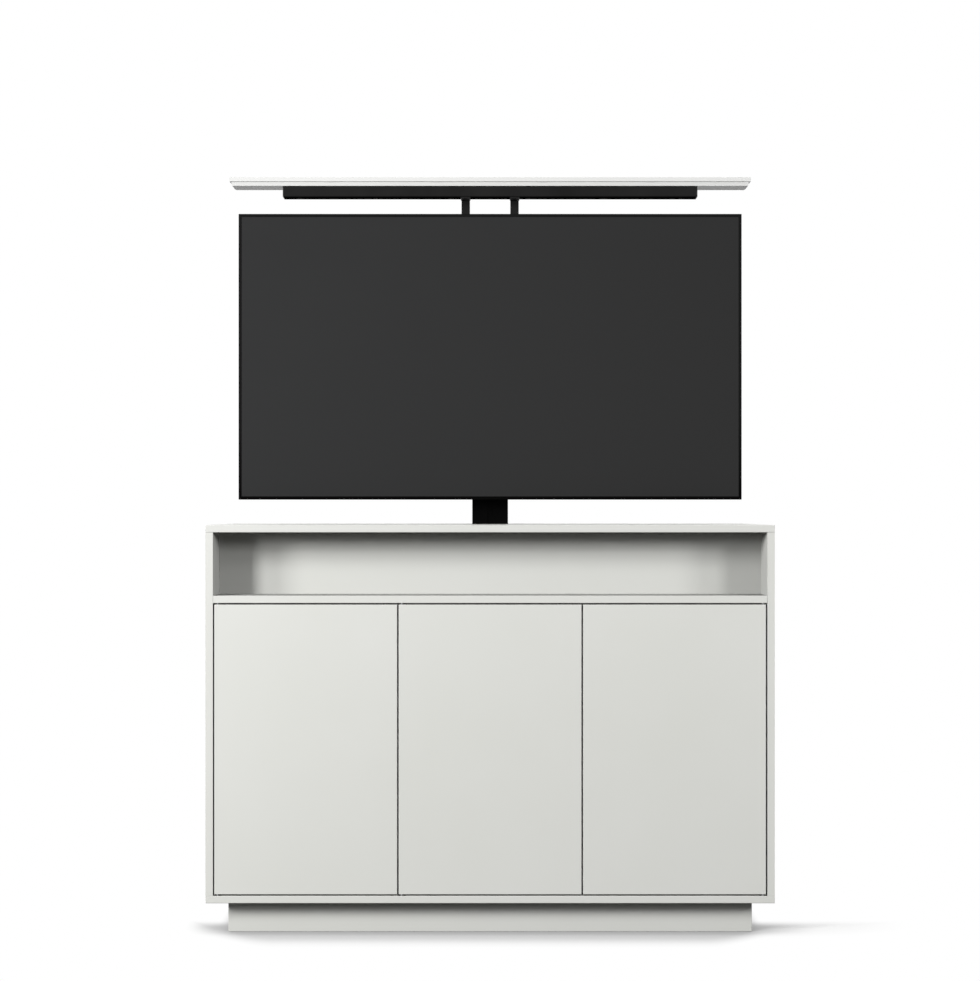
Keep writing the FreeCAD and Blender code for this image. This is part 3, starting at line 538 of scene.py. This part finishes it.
def middle_x(node):
    """The middle of a node, across the cabinet."""
    low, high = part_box(node)
    return (low.x + high.x) / 2.0


def facing(place, axis):
    """The matrix that stands a piece made along +Z at a place, pointing along an axis."""
    turn = Vector(UP).rotation_difference(Vector(axis))
    return Matrix.Translation(Vector(place)) @ turn.to_matrix().to_4x4()


def joined(*shapes):
    """Several bmeshes in one."""
    mesh = bpy.data.meshes.new("pattern")
    whole = bmesh.new()
    for shape in shapes:
        shape.to_mesh(mesh)
        shape.free()
        whole.from_mesh(mesh)
    bpy.data.meshes.remove(mesh)
    return whole


def repeated(pattern, places):
    """One bmesh that holds a copy of the pattern at each place; the pattern is used up."""
    copies = []
    for place in places:
        copies.append(pattern.copy())
        copies[-1].transform(place)
    pattern.free()
    return joined(*copies)


def break_edges(shape, edges, offset, segments=2):
    """Round some edges of a bmesh, or chamfer them with one segment."""
    bmesh.ops.bevel(shape, geom=edges, offset=offset, offset_type="OFFSET", affect="EDGES",
                    segments=segments, profile=0.5, material=-1, clamp_overlap=True)


def first_ring(radius, sides):
    """A bmesh that holds one ring of edges about the Z axis, and those edges."""
    shape = bmesh.new()
    bmesh.ops.create_circle(shape, cap_ends=False, segments=sides, radius=radius)
    return shape, list(shape.edges)


def hexagon_reach(vert, radius):
    """How far out a point of a twelve-sided ring lies when the ring becomes a hexagon."""
    corner = round(math.atan2(vert.co.y, vert.co.x) / (math.pi / 6.0)) % 2 == 0
    return radius if corner else radius * math.cos(math.pi / 6.0)


def next_ring(shape, ring, radius, height, hexagonal=False):
    """Extrude a ring of edges to a new radius and height about the Z axis."""
    made = bmesh.ops.extrude_edge_only(shape, edges=ring)["geom"]
    for vert in (v for v in made if isinstance(v, bmesh.types.BMVert)):
        angle = math.atan2(vert.co.y, vert.co.x)
        reach = hexagon_reach(vert, radius) if hexagonal else radius
        vert.co = Vector((reach * math.cos(angle), reach * math.sin(angle), height))
    return [e for e in made if isinstance(e, bmesh.types.BMEdge)]


def socket_screw(radius, height, socket_depth=0.6):
    """A low round head with a six-sided socket, made along +Z from its seat."""
    shape, ring = first_ring(radius, SCREW_SIDES)
    bmesh.ops.contextual_create(shape, geom=ring)
    for width, rise in ((1.0, 0.45), (0.93, 0.80), (0.76, 1.0)):
        ring = next_ring(shape, ring, radius * width, height * rise)
    for rise in (1.0, 1.0 - socket_depth):
        ring = next_ring(shape, ring, radius * SOCKET_SHARE, height * rise, hexagonal=True)
    bmesh.ops.contextual_create(shape, geom=ring)
    return shape


def hex_bolt(radius, height, washer_radius, washer_height):
    """A six-sided head with a crowned top on a plain washer, made along +Z from its seat."""
    shape, ring = first_ring(washer_radius, WASHER_SIDES)
    bmesh.ops.contextual_create(shape, geom=ring)
    ring = next_ring(shape, ring, washer_radius, washer_height * 0.8)
    ring = next_ring(shape, ring, washer_radius * 0.97, washer_height)
    ring = next_ring(shape, ring, radius * 1.02, washer_height)
    bmesh.ops.contextual_create(shape, geom=ring)
    head, ring = first_ring(radius, SCREW_SIDES)
    for vert in head.verts:
        vert.co *= hexagon_reach(vert, 1.0)
    ring = next_ring(head, ring, radius, height * 0.85, hexagonal=True)
    ring = next_ring(head, ring, radius * 0.84, height)
    bmesh.ops.contextual_create(head, geom=ring)
    bmesh.ops.translate(head, verts=head.verts, vec=(0.0, 0.0, washer_height - SKIN_GAP))
    return joined(shape, head)


def fit_screws(name, places, body, slot="steel", end="", **shape_values):
    """One piece that holds a screw of its kind at each place."""
    settle(name + end, repeated(socket_screw(*SCREWS[name], **shape_values), places), slot, body)


def fit_bolts(name, places, body):
    """One piece that holds a bolt of its kind at each place."""
    settle(name, repeated(hex_bolt(*BOLTS[name]), places), "steel", body)


def turned(profile, steps=32):
    """A turned piece: its (radius, height) profile spun about the Z axis."""
    shape = bmesh.new()
    verts = [shape.verts.new((radius, 0.0, height)) for radius, height in profile]
    edges = [shape.edges.new(pair) for pair in zip(verts, verts[1:])]
    bmesh.ops.spin(shape, geom=verts + edges, cent=(0.0, 0.0, 0.0), axis=UP, angle=math.tau,
                   steps=steps, use_merge=True, use_duplicate=False)
    bmesh.ops.remove_doubles(shape, verts=shape.verts, dist=0.000001)
    return shape


def slab(low, high, edge=0.0, segments=2):
    """A plate or block grown from one face, with its edges broken."""
    shape = bmesh.new()
    bmesh.ops.create_grid(shape, x_segments=1, y_segments=1, size=0.5)
    low, high = Vector(low), Vector(high)
    size = high - low
    bmesh.ops.scale(shape, vec=(size.x, size.y, 1.0), verts=shape.verts)
    made = bmesh.ops.extrude_face_region(shape, geom=list(shape.faces))["geom"]
    lifted = [v for v in made if isinstance(v, bmesh.types.BMVert)]
    bmesh.ops.translate(shape, verts=lifted, vec=(0.0, 0.0, size.z))
    middle = (low + high) / 2.0
    bmesh.ops.translate(shape, verts=shape.verts, vec=(middle.x, middle.y, low.z))
    if edge:
        break_edges(shape, list(shape.edges), edge, segments)
    return shape


def socket_shell(width, height, depth, wall, taper=0.0):
    """A connector's shell: a mouth with a wall round it, made along +Z; taper narrows its foot."""
    shape = slab((-width / 2.0, -height / 2.0, 0.0), (width / 2.0, height / 2.0, depth))
    for vert in shape.verts:
        if vert.co.y < 0.0:
            vert.co.x *= 1.0 - taper
    shape.faces.ensure_lookup_table()
    mouth = [f for f in shape.faces if f.calc_center_median().z > depth * 0.99]
    bmesh.ops.inset_region(shape, faces=mouth, thickness=wall, use_even_offset=True)
    floor_verts = list({v for f in mouth for v in f.verts})
    bmesh.ops.translate(shape, verts=floor_verts, vec=(0.0, 0.0, -depth * 0.85))
    return shape


def weld_bead(start, end, lift):
    """A row of overlapping scales laid along a joint, lifted out of its corner."""
    start, end = Vector(start) + Vector(lift), Vector(end) + Vector(lift)
    run = end - start
    count = max(2, int(run.length / BEAD_PITCH))
    scale = bmesh.new()
    bmesh.ops.create_uvsphere(scale, u_segments=8, v_segments=5, radius=BEAD_RADIUS)
    return repeated(scale, [Matrix.Translation(start + run * (n / (count - 1)))
                            for n in range(count)])


# ---------------- fittings of the cabinet
def back_panel_screws():
    """Screws down both sides of the removable back panel."""
    low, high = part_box("back_panel")
    bottom, top = ends(low.z, high.z, BACK_SCREW_END_INSET)
    heights = [bottom + (top - bottom) * row / (BACK_SCREW_ROWS - 1)
               for row in range(BACK_SCREW_ROWS)]
    fit_screws("back_panel_screws", [facing((x, high.y, z), REARWARD) for z in heights
                                     for x in ends(low.x, high.x, BACK_SCREW_SIDE_INSET)],
               "carcase")


def shelf_support_screws():
    """One screw through the upright leg of each shelf support."""
    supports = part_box("shelf_supports")
    places = []
    for name in COMPARTMENTS:
        low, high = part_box("shelf_" + name)
        for x, inward in zip(ends(low.x, high.x, SUPPORT_LEG_FACE), (1, -1)):
            for y in ends(supports[0].y, supports[1].y, SUPPORT_HALF_WIDTH):
                places.append(facing((x, y, low.z - SUPPORT_LEG_DROP), (inward, 0, 0)))
    fit_screws("shelf_support_screws", places, "carcase")


def door_bumpers():
    """Two soft dots on the rear of each door, where it closes against a partition."""
    radius, thickness = BUMPER_RADIUS, BUMPER_THICKNESS
    profile = [(0.0, 0.0), (radius, 0.0), (radius, thickness * 0.6),
               (radius * 0.8, thickness * 0.92), (0.0, thickness)]
    for name, free_side in zip(COMPARTMENTS, (1, 1, 0)):
        low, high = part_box("door_" + name)
        x = ends(low.x, high.x, BUMPER_INSET)[free_side]
        places = [facing((x, high.y, z), REARWARD)
                  for z in (low.z + BUMPER_ABOVE_FOOT, high.z - BUMPER_BELOW_TOP)]
        settle("door_bumpers_" + name, repeated(turned(profile, 16), places), "white_plastic",
               "door_" + name)


def latch_screws():
    """Two screws in the underside of each latch body hold it up to the fixed shelf."""
    body_low, body_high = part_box("latch_bodies")
    places = []
    for name in COMPARTMENTS:
        low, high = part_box("latch_plunger_" + name)
        for y in (body_low.y + LATCH_SCREW_FRONT_INSET, body_high.y - LATCH_SCREW_REAR_INSET):
            places.append(facing(((low.x + high.x) / 2.0, y, body_low.z), DOWN))
    fit_screws("latch_screws", places, "carcase")


def strike_screws():
    """Two countersunk screws hold each strike plate; only their sockets show."""
    for name in COMPARTMENTS:
        low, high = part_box("latch_strike_" + name)
        fit_screws("strike_screws", [facing((x, high.y, (low.z + high.z) / 2.0), REARWARD)
                                     for x in ends(low.x, high.x, STRIKE_SCREW_INSET)],
                   "door_" + name, end="_" + name, socket_depth=STRIKE_SOCKET_DEPTH)


def plinth_foot_screws():
    """Four screws hold each foot plate up to the bottom panel."""
    low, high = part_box("levelling_feet")
    left, right = ends(low.x, high.x, FOOT_PLATE_HALF)
    reach = (-FOOT_SCREW_REACH, FOOT_SCREW_REACH)
    fit_screws("foot_plate_screws", [facing((x + dx, y + dy, high.z - FOOT_PLATE_THICKNESS), DOWN)
                                     for x in (left, 0.0, right)
                                     for y in ends(low.y, high.y, FOOT_PLATE_HALF)
                                     for dx in reach for dy in reach], "carcase")


# ---------------- fittings of the lift
def column_base_bolts():
    """Bolts through the column's base plate into the bottom panel."""
    low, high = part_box("column_base")
    fit_bolts("column_base_bolts", [facing((x, y, high.z), UP)
                                    for x in ends(low.x, high.x, BASE_BOLT_INSET_X)
                                    for y in ends(low.y, high.y, BASE_BOLT_INSET_Y)], "carcase")


def head_bolts():
    """Two bolts through the head bracket's cap, down into the inner stage."""
    low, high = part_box("column_inner")
    fit_bolts("head_bolts", [facing((x, (low.y + high.y) / 2.0, high.z + HEAD_CAP_THICKNESS), UP)
                             for x in (-HEAD_BOLT_REACH, HEAD_BOLT_REACH)], "lift_head")


def bracket_screws():
    """Screws through both flanges of the wall bracket into the back panel."""
    low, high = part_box("column_bracket")
    fit_screws("bracket_screws", [facing((x, high.y - BRACKET_THICKNESS, z), FORWARD)
                                  for x in ends(low.x, high.x, BRACKET_SCREW_INSET)
                                  for z in ends(low.z, high.z, BRACKET_SCREW_INSET)], "carcase")


def mount_plate_screws():
    """Screws through the mount plate into both uprights."""
    low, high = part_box("mount_plate")
    fit_screws("mount_plate_screws", [facing((middle_x("upright_" + side), low.y, z), FORWARD)
                                      for side in ("left", "right")
                                      for z in ends(low.z, high.z, MOUNT_SCREW_INSET)],
               "lift_head")


def frame_welds():
    """Beads where the rails meet the mount plate, the bracket the uprights, and they the bar."""
    shapes = []
    plate_low, plate_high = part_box("mount_plate")
    for side in ("left", "right"):
        for x, step in zip([corner.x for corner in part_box("tv_rail_" + side)], (-1, 1)):
            for z in (plate_low.z + RAIL_BEAD_RISE, plate_high.z - RAIL_BEAD_DROP):
                shapes.append(weld_bead((x, plate_low.y, z),
                                        (x, plate_low.y, z + RAIL_BEAD_LENGTH),
                                        (step * RAIL_BEAD_LIFT, -RAIL_BEAD_LIFT, 0)))
    flange_low, flange_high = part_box("head_bracket")
    bar_low, bar_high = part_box("lid_bar")
    foot, head = ends(bar_low.z, bar_high.z, BAR_BEAD_INSET)
    for side, sign in (("left", -1), ("right", 1)):
        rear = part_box("upright_" + side)[1].y
        middle = middle_x("upright_" + side)
        x = middle - sign * UPRIGHT_HALF
        for z in (flange_low.z + BRACKET_BEAD_RISE, flange_high.z - BRACKET_BEAD_DROP):
            shapes.append(weld_bead((x, rear, z), (x, rear, z + BRACKET_BEAD_LENGTH),
                                    (0, BEAD_LIFT, 0)))
        for step in (-1, 1):
            x = middle + step * UPRIGHT_HALF
            shapes.append(weld_bead((x, bar_high.y, foot), (x, bar_high.y, head),
                                    (step * BEAD_LIFT, BEAD_LIFT, 0)))
    settle("frame_welds", joined(*shapes), "frame_black", "lift_head")


def stage_collar(name, stage_name, body):
    """A thin moulded collar that caps the top edge of a column stage."""
    low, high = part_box(stage_name)
    top = high.z + COLLAR_RIM
    shape = slab((low.x - COLLAR_WALL, low.y - COLLAR_WALL, high.z - COLLAR_SKIRT),
                 (high.x + COLLAR_WALL, high.y + COLLAR_WALL, top))
    corners = [e for e in shape.edges if abs(e.verts[0].co.z - e.verts[1].co.z) > COLLAR_RIM]
    break_edges(shape, corners, COLLAR_CORNER, segments=5)
    ring_faces = [f for f in shape.faces if abs(f.normal.z) > 0.9]
    bmesh.ops.inset_region(shape, faces=ring_faces, use_even_offset=True,
                           thickness=COLLAR_WALL + STAGE_WALL - COLLAR_CLEARANCE)
    rims = {}
    for face in ring_faces:
        rims["top" if face.calc_center_median().z > high.z else "foot"] = list(face.edges)
    bmesh.ops.delete(shape, geom=ring_faces, context="FACES_ONLY")
    bmesh.ops.bridge_loops(shape, edges=rims["top"] + rims["foot"])
    top_edges = [e for e in shape.edges if all(abs(v.co.z - top) < 1e-6 for v in e.verts)
                 and len(e.link_faces) == 2 and abs(e.calc_face_angle(0.0)) > 0.5]
    break_edges(shape, top_edges, COLLAR_EDGE)
    settle(name, shape, "black_plastic", body)


def motor_fittings():
    """Clamp bands, cap screws and a bearing cap on the motor."""
    low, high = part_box("lift_motor")
    middle = Vector((middle_x("lift_motor"), (low.y + high.y) / 2.0, 0.0))
    inside = (high.x - low.x) / 2.0 - BAND_SUNK
    outside = (high.x - low.x) / 2.0 + BAND_EDGE
    band = [(inside, 0.0), (outside, BAND_EDGE), (outside, BAND_WIDTH - BAND_EDGE),
            (inside, BAND_WIDTH), (inside, 0.0)]
    bands = repeated(turned(band, 48), [Matrix.Translation(middle + Vector((0, 0, z)))
                                        for z in (low.z + BAND_RISE, high.z - BAND_DROP)])
    settle("motor_bands", bands, "steel", "carcase")
    fit_screws("motor_cap_screws", [
        facing(middle + Vector((MOTOR_SCREW_CIRCLE * math.cos(turn),
                                MOTOR_SCREW_CIRCLE * math.sin(turn), high.z)), UP)
        for turn in (math.pi / 4.0, 5.0 * math.pi / 4.0)], "carcase")
    bearing = turned([(0.0, 0.0), (0.008, 0.0), (0.0078, 0.0016), (0.0062, 0.0022), (0.0, 0.0022)])
    bearing.transform(Matrix.Translation(middle + Vector((0, 0, high.z))))
    settle("motor_bearing_cap", bearing, "black_plastic", "carcase")


def rib_row(start, pitch, count, half_width, y_range, z_range, edge):
    """A row of upright ribs side by side, the first with its middle at start."""
    middles = [start + n * pitch for n in range(count)]
    return joined(*[slab((x - half_width, y_range[0], z_range[0]),
                         (x + half_width, y_range[1], z_range[1]), edge) for x in middles])


def gearbox_fittings():
    """Four cover screws on the gearbox, and the ribs cast into its front."""
    low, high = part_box("gearbox")
    heights = ends(low.z, high.z, GEARBOX_SCREW_INSET)
    fit_screws("gearbox_screws", [facing((x, low.y, z), FORWARD)
                                  for x in ends(low.x, high.x, GEARBOX_SCREW_INSET)
                                  for z in (heights[0], heights[1] - GEARBOX_SCREW_DROP)],
               "carcase")
    ribs = rib_row(start=low.x + 0.018, pitch=0.008, count=4, half_width=0.0012,
                   y_range=(low.y - 0.0016, low.y + SKIN_GAP),
                   z_range=(low.z + 0.012, high.z - 0.016), edge=0.0006)
    settle("gearbox_ribs", ribs, "frame_black", "carcase")


def control_box_fittings():
    """Cooling ribs, cover screws, a status lamp and the shells in the sockets of the box."""
    low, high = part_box("control_box")
    ribs = rib_row(start=low.x + 0.045, pitch=0.0125, count=9, half_width=0.0022,
                   y_range=ends(low.y, high.y, 0.020),
                   z_range=(high.z - SKIN_GAP, high.z + 0.0016), edge=0.0008)
    settle("control_box_ribs", ribs, "black_plastic", "carcase")
    fit_screws("control_box_screws", [facing((x, y, high.z), UP)
                                      for x in ends(low.x, high.x, BOX_SCREW_INSET)
                                      for y in ends(low.y, high.y, BOX_SCREW_INSET)], "carcase")
    lamp = turned([(0.0, 0.0), (0.0022, 0.0), (0.0022, 0.0007), (0.0014, 0.0014), (0.0, 0.0016)],
                  20)
    lamp.transform(Matrix.Translation((low.x + BOX_LAMP_PLACE[0], low.y + BOX_LAMP_PLACE[1],
                                       high.z - SKIN_GAP)))
    settle("control_box_lamp", lamp, "white_plastic", "carcase")
    mouth_left = Matrix(((0, 0, -1, 0), (1, 0, 0, 0), (0, 1, 0, 0), (0, 0, 0, 1)))
    x, z = low.x + BOX_SOCKET_INSET, (low.z + high.z) / 2.0
    rows = [(low.y + high.y) / 2.0 + (n - (BOX_SOCKETS - 1) / 2.0) * BOX_SOCKET_PITCH
            for n in range(BOX_SOCKETS)]
    shells = repeated(socket_shell(width=0.0150, height=0.0100, depth=0.0060, wall=0.0011),
                      [Matrix.Translation((x, y, z)) @ mouth_left for y in rows])
    settle("control_box_sockets", shells, "grey_plastic", "carcase")


# ---------------- fittings of the set and the lid
def set_sockets():
    """The connector row in the recess of the television's rear cover."""
    floor_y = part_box("tv_rear_cover")[1].y - SOCKET_RECESS
    row = Vector((SOCKET_ROW[0], floor_y, SOCKET_ROW[1]))
    upper = row + Vector((0.0, 0.0, SOCKET_RISE))
    mouth_rearward = Matrix(((-1, 0, 0, 0), (0, 0, 1, 0), (0, 1, 0, 0), (0, 0, 0, 1)))
    # width, height and taper of a shell
    video, data, network = (0.0152, 0.0058, 0.16), (0.0066, 0.0136, 0.0), (0.0160, 0.0136, 0.0)
    shells = []
    for x, (width, height, taper) in ((-0.060, video), (-0.038, video), (-0.016, video),
                                      (0.006, data), (0.018, data), (0.035, network)):
        shell = socket_shell(width, height, 0.0045, 0.0007, taper)
        shell.transform(Matrix.Translation(upper + Vector((x, 0.0, 0.0))) @ mouth_rearward)
        shells.append(shell)
    settle("set_sockets", joined(*shells), "steel", "lift_head")
    aerial = turned([(0.0, 0.0), (0.0058, 0.0), (0.0058, 0.0012), (0.0046, 0.0018),
                     (0.0046, 0.0070), (0.0036, 0.0070), (0.0036, 0.0020), (0.0008, 0.0020),
                     (0.0006, 0.0056), (0.0, 0.0058)], 28)
    aerial.transform(facing(upper + Vector((0.060, 0.0, 0.0)), REARWARD))
    settle("set_aerial_socket", aerial, "steel", "lift_head")
    jack = turned([(0.0, 0.0), (0.0042, 0.0), (0.0042, 0.0022), (0.0034, 0.0028),
                   (0.0019, 0.0028), (0.0019, 0.0004), (0.0, 0.0004)], 24)
    settle("set_audio_jacks", repeated(jack, [facing(row + Vector((x, 0.0, -JACK_DROP)), REARWARD)
                                              for x in (-0.050, -0.034, -0.018)]),
           "black_plastic", "lift_head")


def set_cover_screws():
    """Screws round the thin border of the television's rear cover."""
    low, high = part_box("tv_rear_cover")
    left, right = ends(low.x, high.x, COVER_SCREW_INSET)
    spots = [(x, z) for x in (left, -COVER_SCREW_STEP, 0.0, COVER_SCREW_STEP, right)
             for z in ends(low.z, high.z, COVER_SCREW_INSET)]
    spots += [(x, (low.z + high.z) / 2.0) for x in (left, right)]
    fit_screws("set_cover_screws", [facing((x, high.y - COVER_BORDER_DROP, z), REARWARD)
                                    for x, z in spots], "lift_head", slot="black_plastic")


def lid_pads():
    """Thin felt pads under the lid board, where it comes down on the cabinet's top."""
    low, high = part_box("lid_board")
    foot, head = low.z - PAD_THICKNESS, low.z + SKIN_GAP
    spots = [(x - PAD_HALF_LENGTH, y, 2.0 * PAD_HALF_LENGTH, PAD_WIDTH)
             for y in (low.y + PAD_EDGE, high.y - PAD_EDGE - PAD_WIDTH)
             for x in PAD_PLACES]
    spots += [(x, PAD_MIDDLE_Y - PAD_HALF_LENGTH, PAD_WIDTH, 2.0 * PAD_HALF_LENGTH)
              for x in (low.x + PAD_EDGE, high.x - PAD_EDGE - PAD_WIDTH)]
    pads = [slab((x, y, foot), (x + width, y + depth, head), PAD_CHAMFER, segments=1)
            for x, y, width, depth in spots]
    settle("lid_pads", joined(*pads), "white_plastic", "lift_head", FELT)


def bar_screws():
    """Screws up through the bar into the lid's under board."""
    low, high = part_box("lid_bar")
    fit_screws("bar_screws", [facing((x, (low.y + high.y) / 2.0, low.z), DOWN)
                              for x in BAR_SCREW_PLACES],
               "lift_head", slot="frame_black")


# ---------------- floor, light and camera
FLOOR_RADIUS = 60.0
FLOOR_TONE = 0.58
FLOOR_LIFT = 0.34
FLOOR_BOUNCE = 0.46
BOUNCE_START = 1.15
BOUNCE_END = 2.6
# Painted contact shade: how far the occlusion reaches, and how dark it paints the floor.
PAINTED_CONTACT_REACH = 0.15
PAINTED_CONTACT_DARKEST = 0.46
SKY_STRENGTH = 0.11

# Where the floor keeps the lamps' shadow and the painted contact shade round the plinth; beyond
# that it is painted plain white over any shadow. A pair is a start and an end, or a value in the
# middle of the cabinet's width and one at its corners, or one on the left and one on the right.
SHADOW_CORNER = (0.52, 0.70)
SHADOW_TURN = (-0.1, 0.1)
SHADOW_BESIDE = 0.66
SHADOW_BEFORE = (0.20, 0.13)
SHADOW_REACH_SIDEWAYS = (0.11, 0.42)
SHADOW_REACH_FORWARD = (0.20, 0.15)
SHADOW_FADE = (0.35, 1.0)
SHADOW_SIDE = (0.64, 0.69)
SHADOW_REAR = (-0.15, -0.06)

LAMP_TARGET = Vector((0.0, -0.25, 0.9))
LAMP_DISTANCE = 5.2
LAMP_BOUNCES = 0
LAMPS = (  # name, degrees to the right of the front, degrees up, size, power
    ("left_low_box", -45.0, 8.0, 0.8, 41.0),
    ("left_front_box", -45.0, 20.0, 0.8, 73.0),
    ("left_high_box", -45.0, 27.0, 0.8, 62.0),
    ("left_side_box", -60.0, 10.0, 0.8, 110.0),
    ("right_front_box", 45.0, 14.0, 0.8, 40.0),
    ("right_high_box", 45.0, 27.0, 0.8, 31.0),
    ("right_side_box", 60.0, 10.0, 0.8, 65.0),
    ("top_box", 0.0, 78.0, 1.6, 60.0),
    ("left_rear_box", -142.0, 30.0, 1.6, 110.0),
    ("right_rear_box", 142.0, 30.0, 1.6, 110.0),
)

CAMERA_DISTANCE = 5.0
CAMERA_HEIGHT = 1.052
CAMERA_X = -0.0003
SENSOR_MM = 36.0
LENS_MM = 74.7
LENS_SHIFT = 0.0179
CLIP_END = 200.0


def seen_directly(tree):
    """1 for camera, glossy and transmission rays, 0 for the light that falls on things."""
    rays = add_node(tree, "ShaderNodeLightPath").outputs
    seen = math_node(tree, "MAXIMUM", rays["Is Camera Ray"], rays["Is Glossy Ray"])
    return math_node(tree, "MAXIMUM", seen, rays["Is Transmission Ray"])


def floor_edge(tree, place):
    """0 on the floor close round the plinth, where shadow is kept, 1 where it is plain white,
    painted over the lamps' shadow.
    """
    x, y = split(tree, place, "X"), split(tree, place, "Y")
    across = math_node(tree, "ABSOLUTE", x)
    corner = faded(tree, across, *SHADOW_CORNER)
    beside = math_node(tree, "SUBTRACT", across, SHADOW_BESIDE)
    before = math_node(tree, "SUBTRACT", math_node(tree, "ABSOLUTE", y),
                       mixed(tree, corner, *SHADOW_BEFORE))
    reaches = (mixed(tree, faded(tree, x, *SHADOW_TURN), *SHADOW_REACH_SIDEWAYS),
               mixed(tree, corner, *SHADOW_REACH_FORWARD))
    squares = []
    for distance, reach in zip((beside, before), reaches):
        share = math_node(tree, "DIVIDE", math_node(tree, "MAXIMUM", distance, 0.0), reach)
        squares.append(math_node(tree, "POWER", share, 2.0))
    far = math_node(tree, "SQRT", math_node(tree, "ADD", *squares))
    # Beside the plinth and towards its rear the floor is painted plain white over the lamps'
    # shadow.
    side = math_node(tree, "MULTIPLY", faded(tree, across, *SHADOW_SIDE),
                     faded(tree, y, *SHADOW_REAR))
    return math_node(tree, "MAXIMUM", faded(tree, far, *SHADOW_FADE), side)


def floor_finish():
    """A pale floor that keeps the lamps' shadows and a painted contact shade close round the
    cabinet, and is plain white farther out.
    """
    finish = bpy.data.materials.new("studio_floor")
    finish.use_nodes = True
    tree = finish.node_tree
    tree.nodes.clear()
    direct = seen_directly(tree)
    place = object_place(tree)
    distance = add_node(tree, "ShaderNodeVectorMath", operation="LENGTH")
    tree.links.new(place, distance.inputs[0])
    # Painted shade: the floor's colour and glow darken where the cabinet hides the sky, as a
    # contact shadow.
    painted_contact_shade = add_node(tree, "ShaderNodeAmbientOcclusion", samples=16,
                       inputs={"Distance": PAINTED_CONTACT_REACH})
    shade = mixed(tree, painted_contact_shade.outputs["AO"], PAINTED_CONTACT_DARKEST, 1.0)
    edge = floor_edge(tree, place)
    tone_with_painted_shade = mixed(tree, edge, math_node(tree, "MULTIPLY", shade, FLOOR_TONE), 0.0)
    bounce = mixed(tree, faded(tree, distance.outputs["Value"], BOUNCE_START, BOUNCE_END),
                   FLOOR_BOUNCE, 0.0)
    diffuse = add_node(tree, "ShaderNodeBsdfDiffuse")
    tree.links.new(mixed(tree, direct, bounce, tone_with_painted_shade), diffuse.inputs["Color"])
    glow_with_painted_shade = mixed(tree, edge, math_node(tree, "MULTIPLY", shade, FLOOR_LIFT), 1.0)
    lift = add_node(tree, "ShaderNodeEmission", inputs={"Color": (1.0, 1.0, 1.0, 1.0)})
    tree.links.new(math_node(tree, "MULTIPLY", direct, glow_with_painted_shade), lift.inputs["Strength"])
    whole = add_node(tree, "ShaderNodeAddShader")
    tree.links.new(diffuse.outputs[0], whole.inputs[0])
    tree.links.new(lift.outputs[0], whole.inputs[1])
    output = add_node(tree, "ShaderNodeOutputMaterial")
    tree.links.new(whole.outputs[0], output.inputs["Surface"])
    return finish


def studio_floor():
    """A wide round floor."""
    mesh = bpy.data.meshes.new("studio_floor")
    shape = bmesh.new()
    bmesh.ops.create_circle(shape, cap_ends=True, segments=64, radius=FLOOR_RADIUS)
    shape.to_mesh(mesh)
    shape.free()
    mesh.materials.append(floor_finish())
    floor = bpy.data.objects.new("studio_floor", mesh)
    bpy.context.scene.collection.objects.link(floor)


def studio_sky():
    """An even pale sky: plain white where it is seen, softer where it lights the cabinet."""
    world = bpy.data.worlds.new("studio_sky")
    bpy.context.scene.world = world
    world.use_nodes = True
    tree = world.node_tree
    sky = tree.nodes["Background"]
    sky.inputs["Color"].default_value = (1.0, 1.0, 1.0, 1.0)
    level = ranged(tree, seen_directly(tree), 0.0, 1.0, low=SKY_STRENGTH)
    tree.links.new(level, sky.inputs["Strength"])


def soft_box(name, turn, rise, size, power):
    """A square lamp that faces the middle of the cabinet's front; it stays out of reflections."""
    lamp = bpy.data.lights.new(name, "AREA")
    lamp.shape = "SQUARE"
    lamp.size = size
    lamp.energy = power
    lamp.cycles.max_bounces = LAMP_BOUNCES
    away = Vector((math.cos(rise) * math.sin(turn), -math.cos(rise) * math.cos(turn),
                   math.sin(rise)))
    holder = bpy.data.objects.new(name, lamp)
    holder.location = LAMP_TARGET + away * LAMP_DISTANCE
    holder.rotation_euler = (-away).to_track_quat("-Z", "Y").to_euler()
    holder.visible_camera = False
    holder.visible_glossy = False
    bpy.context.scene.collection.objects.link(holder)


def studio_lamps():
    """Soft boxes stood round the cabinet."""
    for name, turn, rise, size, power in LAMPS:
        soft_box(name, math.radians(turn), math.radians(rise), size, power)


def studio_camera():
    """A long lens square to the front, just above the height of the top."""
    lens = bpy.data.cameras.new("studio_camera")
    lens.sensor_fit = "HORIZONTAL"
    lens.sensor_width = SENSOR_MM
    lens.lens = LENS_MM
    lens.shift_y = LENS_SHIFT
    lens.clip_end = CLIP_END
    holder = bpy.data.objects.new("studio_camera", lens)
    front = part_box("top_panel")[0].y
    holder.location = (CAMERA_X, front - CAMERA_DISTANCE, CAMERA_HEIGHT)
    holder.rotation_euler = (math.radians(90.0), 0.0, 0.0)
    bpy.context.scene.collection.objects.link(holder)
    bpy.context.scene.camera = holder


dress_nodes()
for make in (back_panel_screws, shelf_support_screws, door_bumpers, latch_screws, strike_screws,
             plinth_foot_screws, column_base_bolts, head_bolts, bracket_screws,
             mount_plate_screws, frame_welds):
    make()
stage_collar("outer_collar", "column_outer", "carcase")
stage_collar("middle_collar", "column_middle", "column_middle")
for make in (motor_fittings, gearbox_fittings, control_box_fittings, set_sockets,
             set_cover_screws, lid_pads, bar_screws, studio_floor, studio_sky, studio_lamps,
             studio_camera):
    make()
bpy.context.scene.view_settings.view_transform = "Standard"
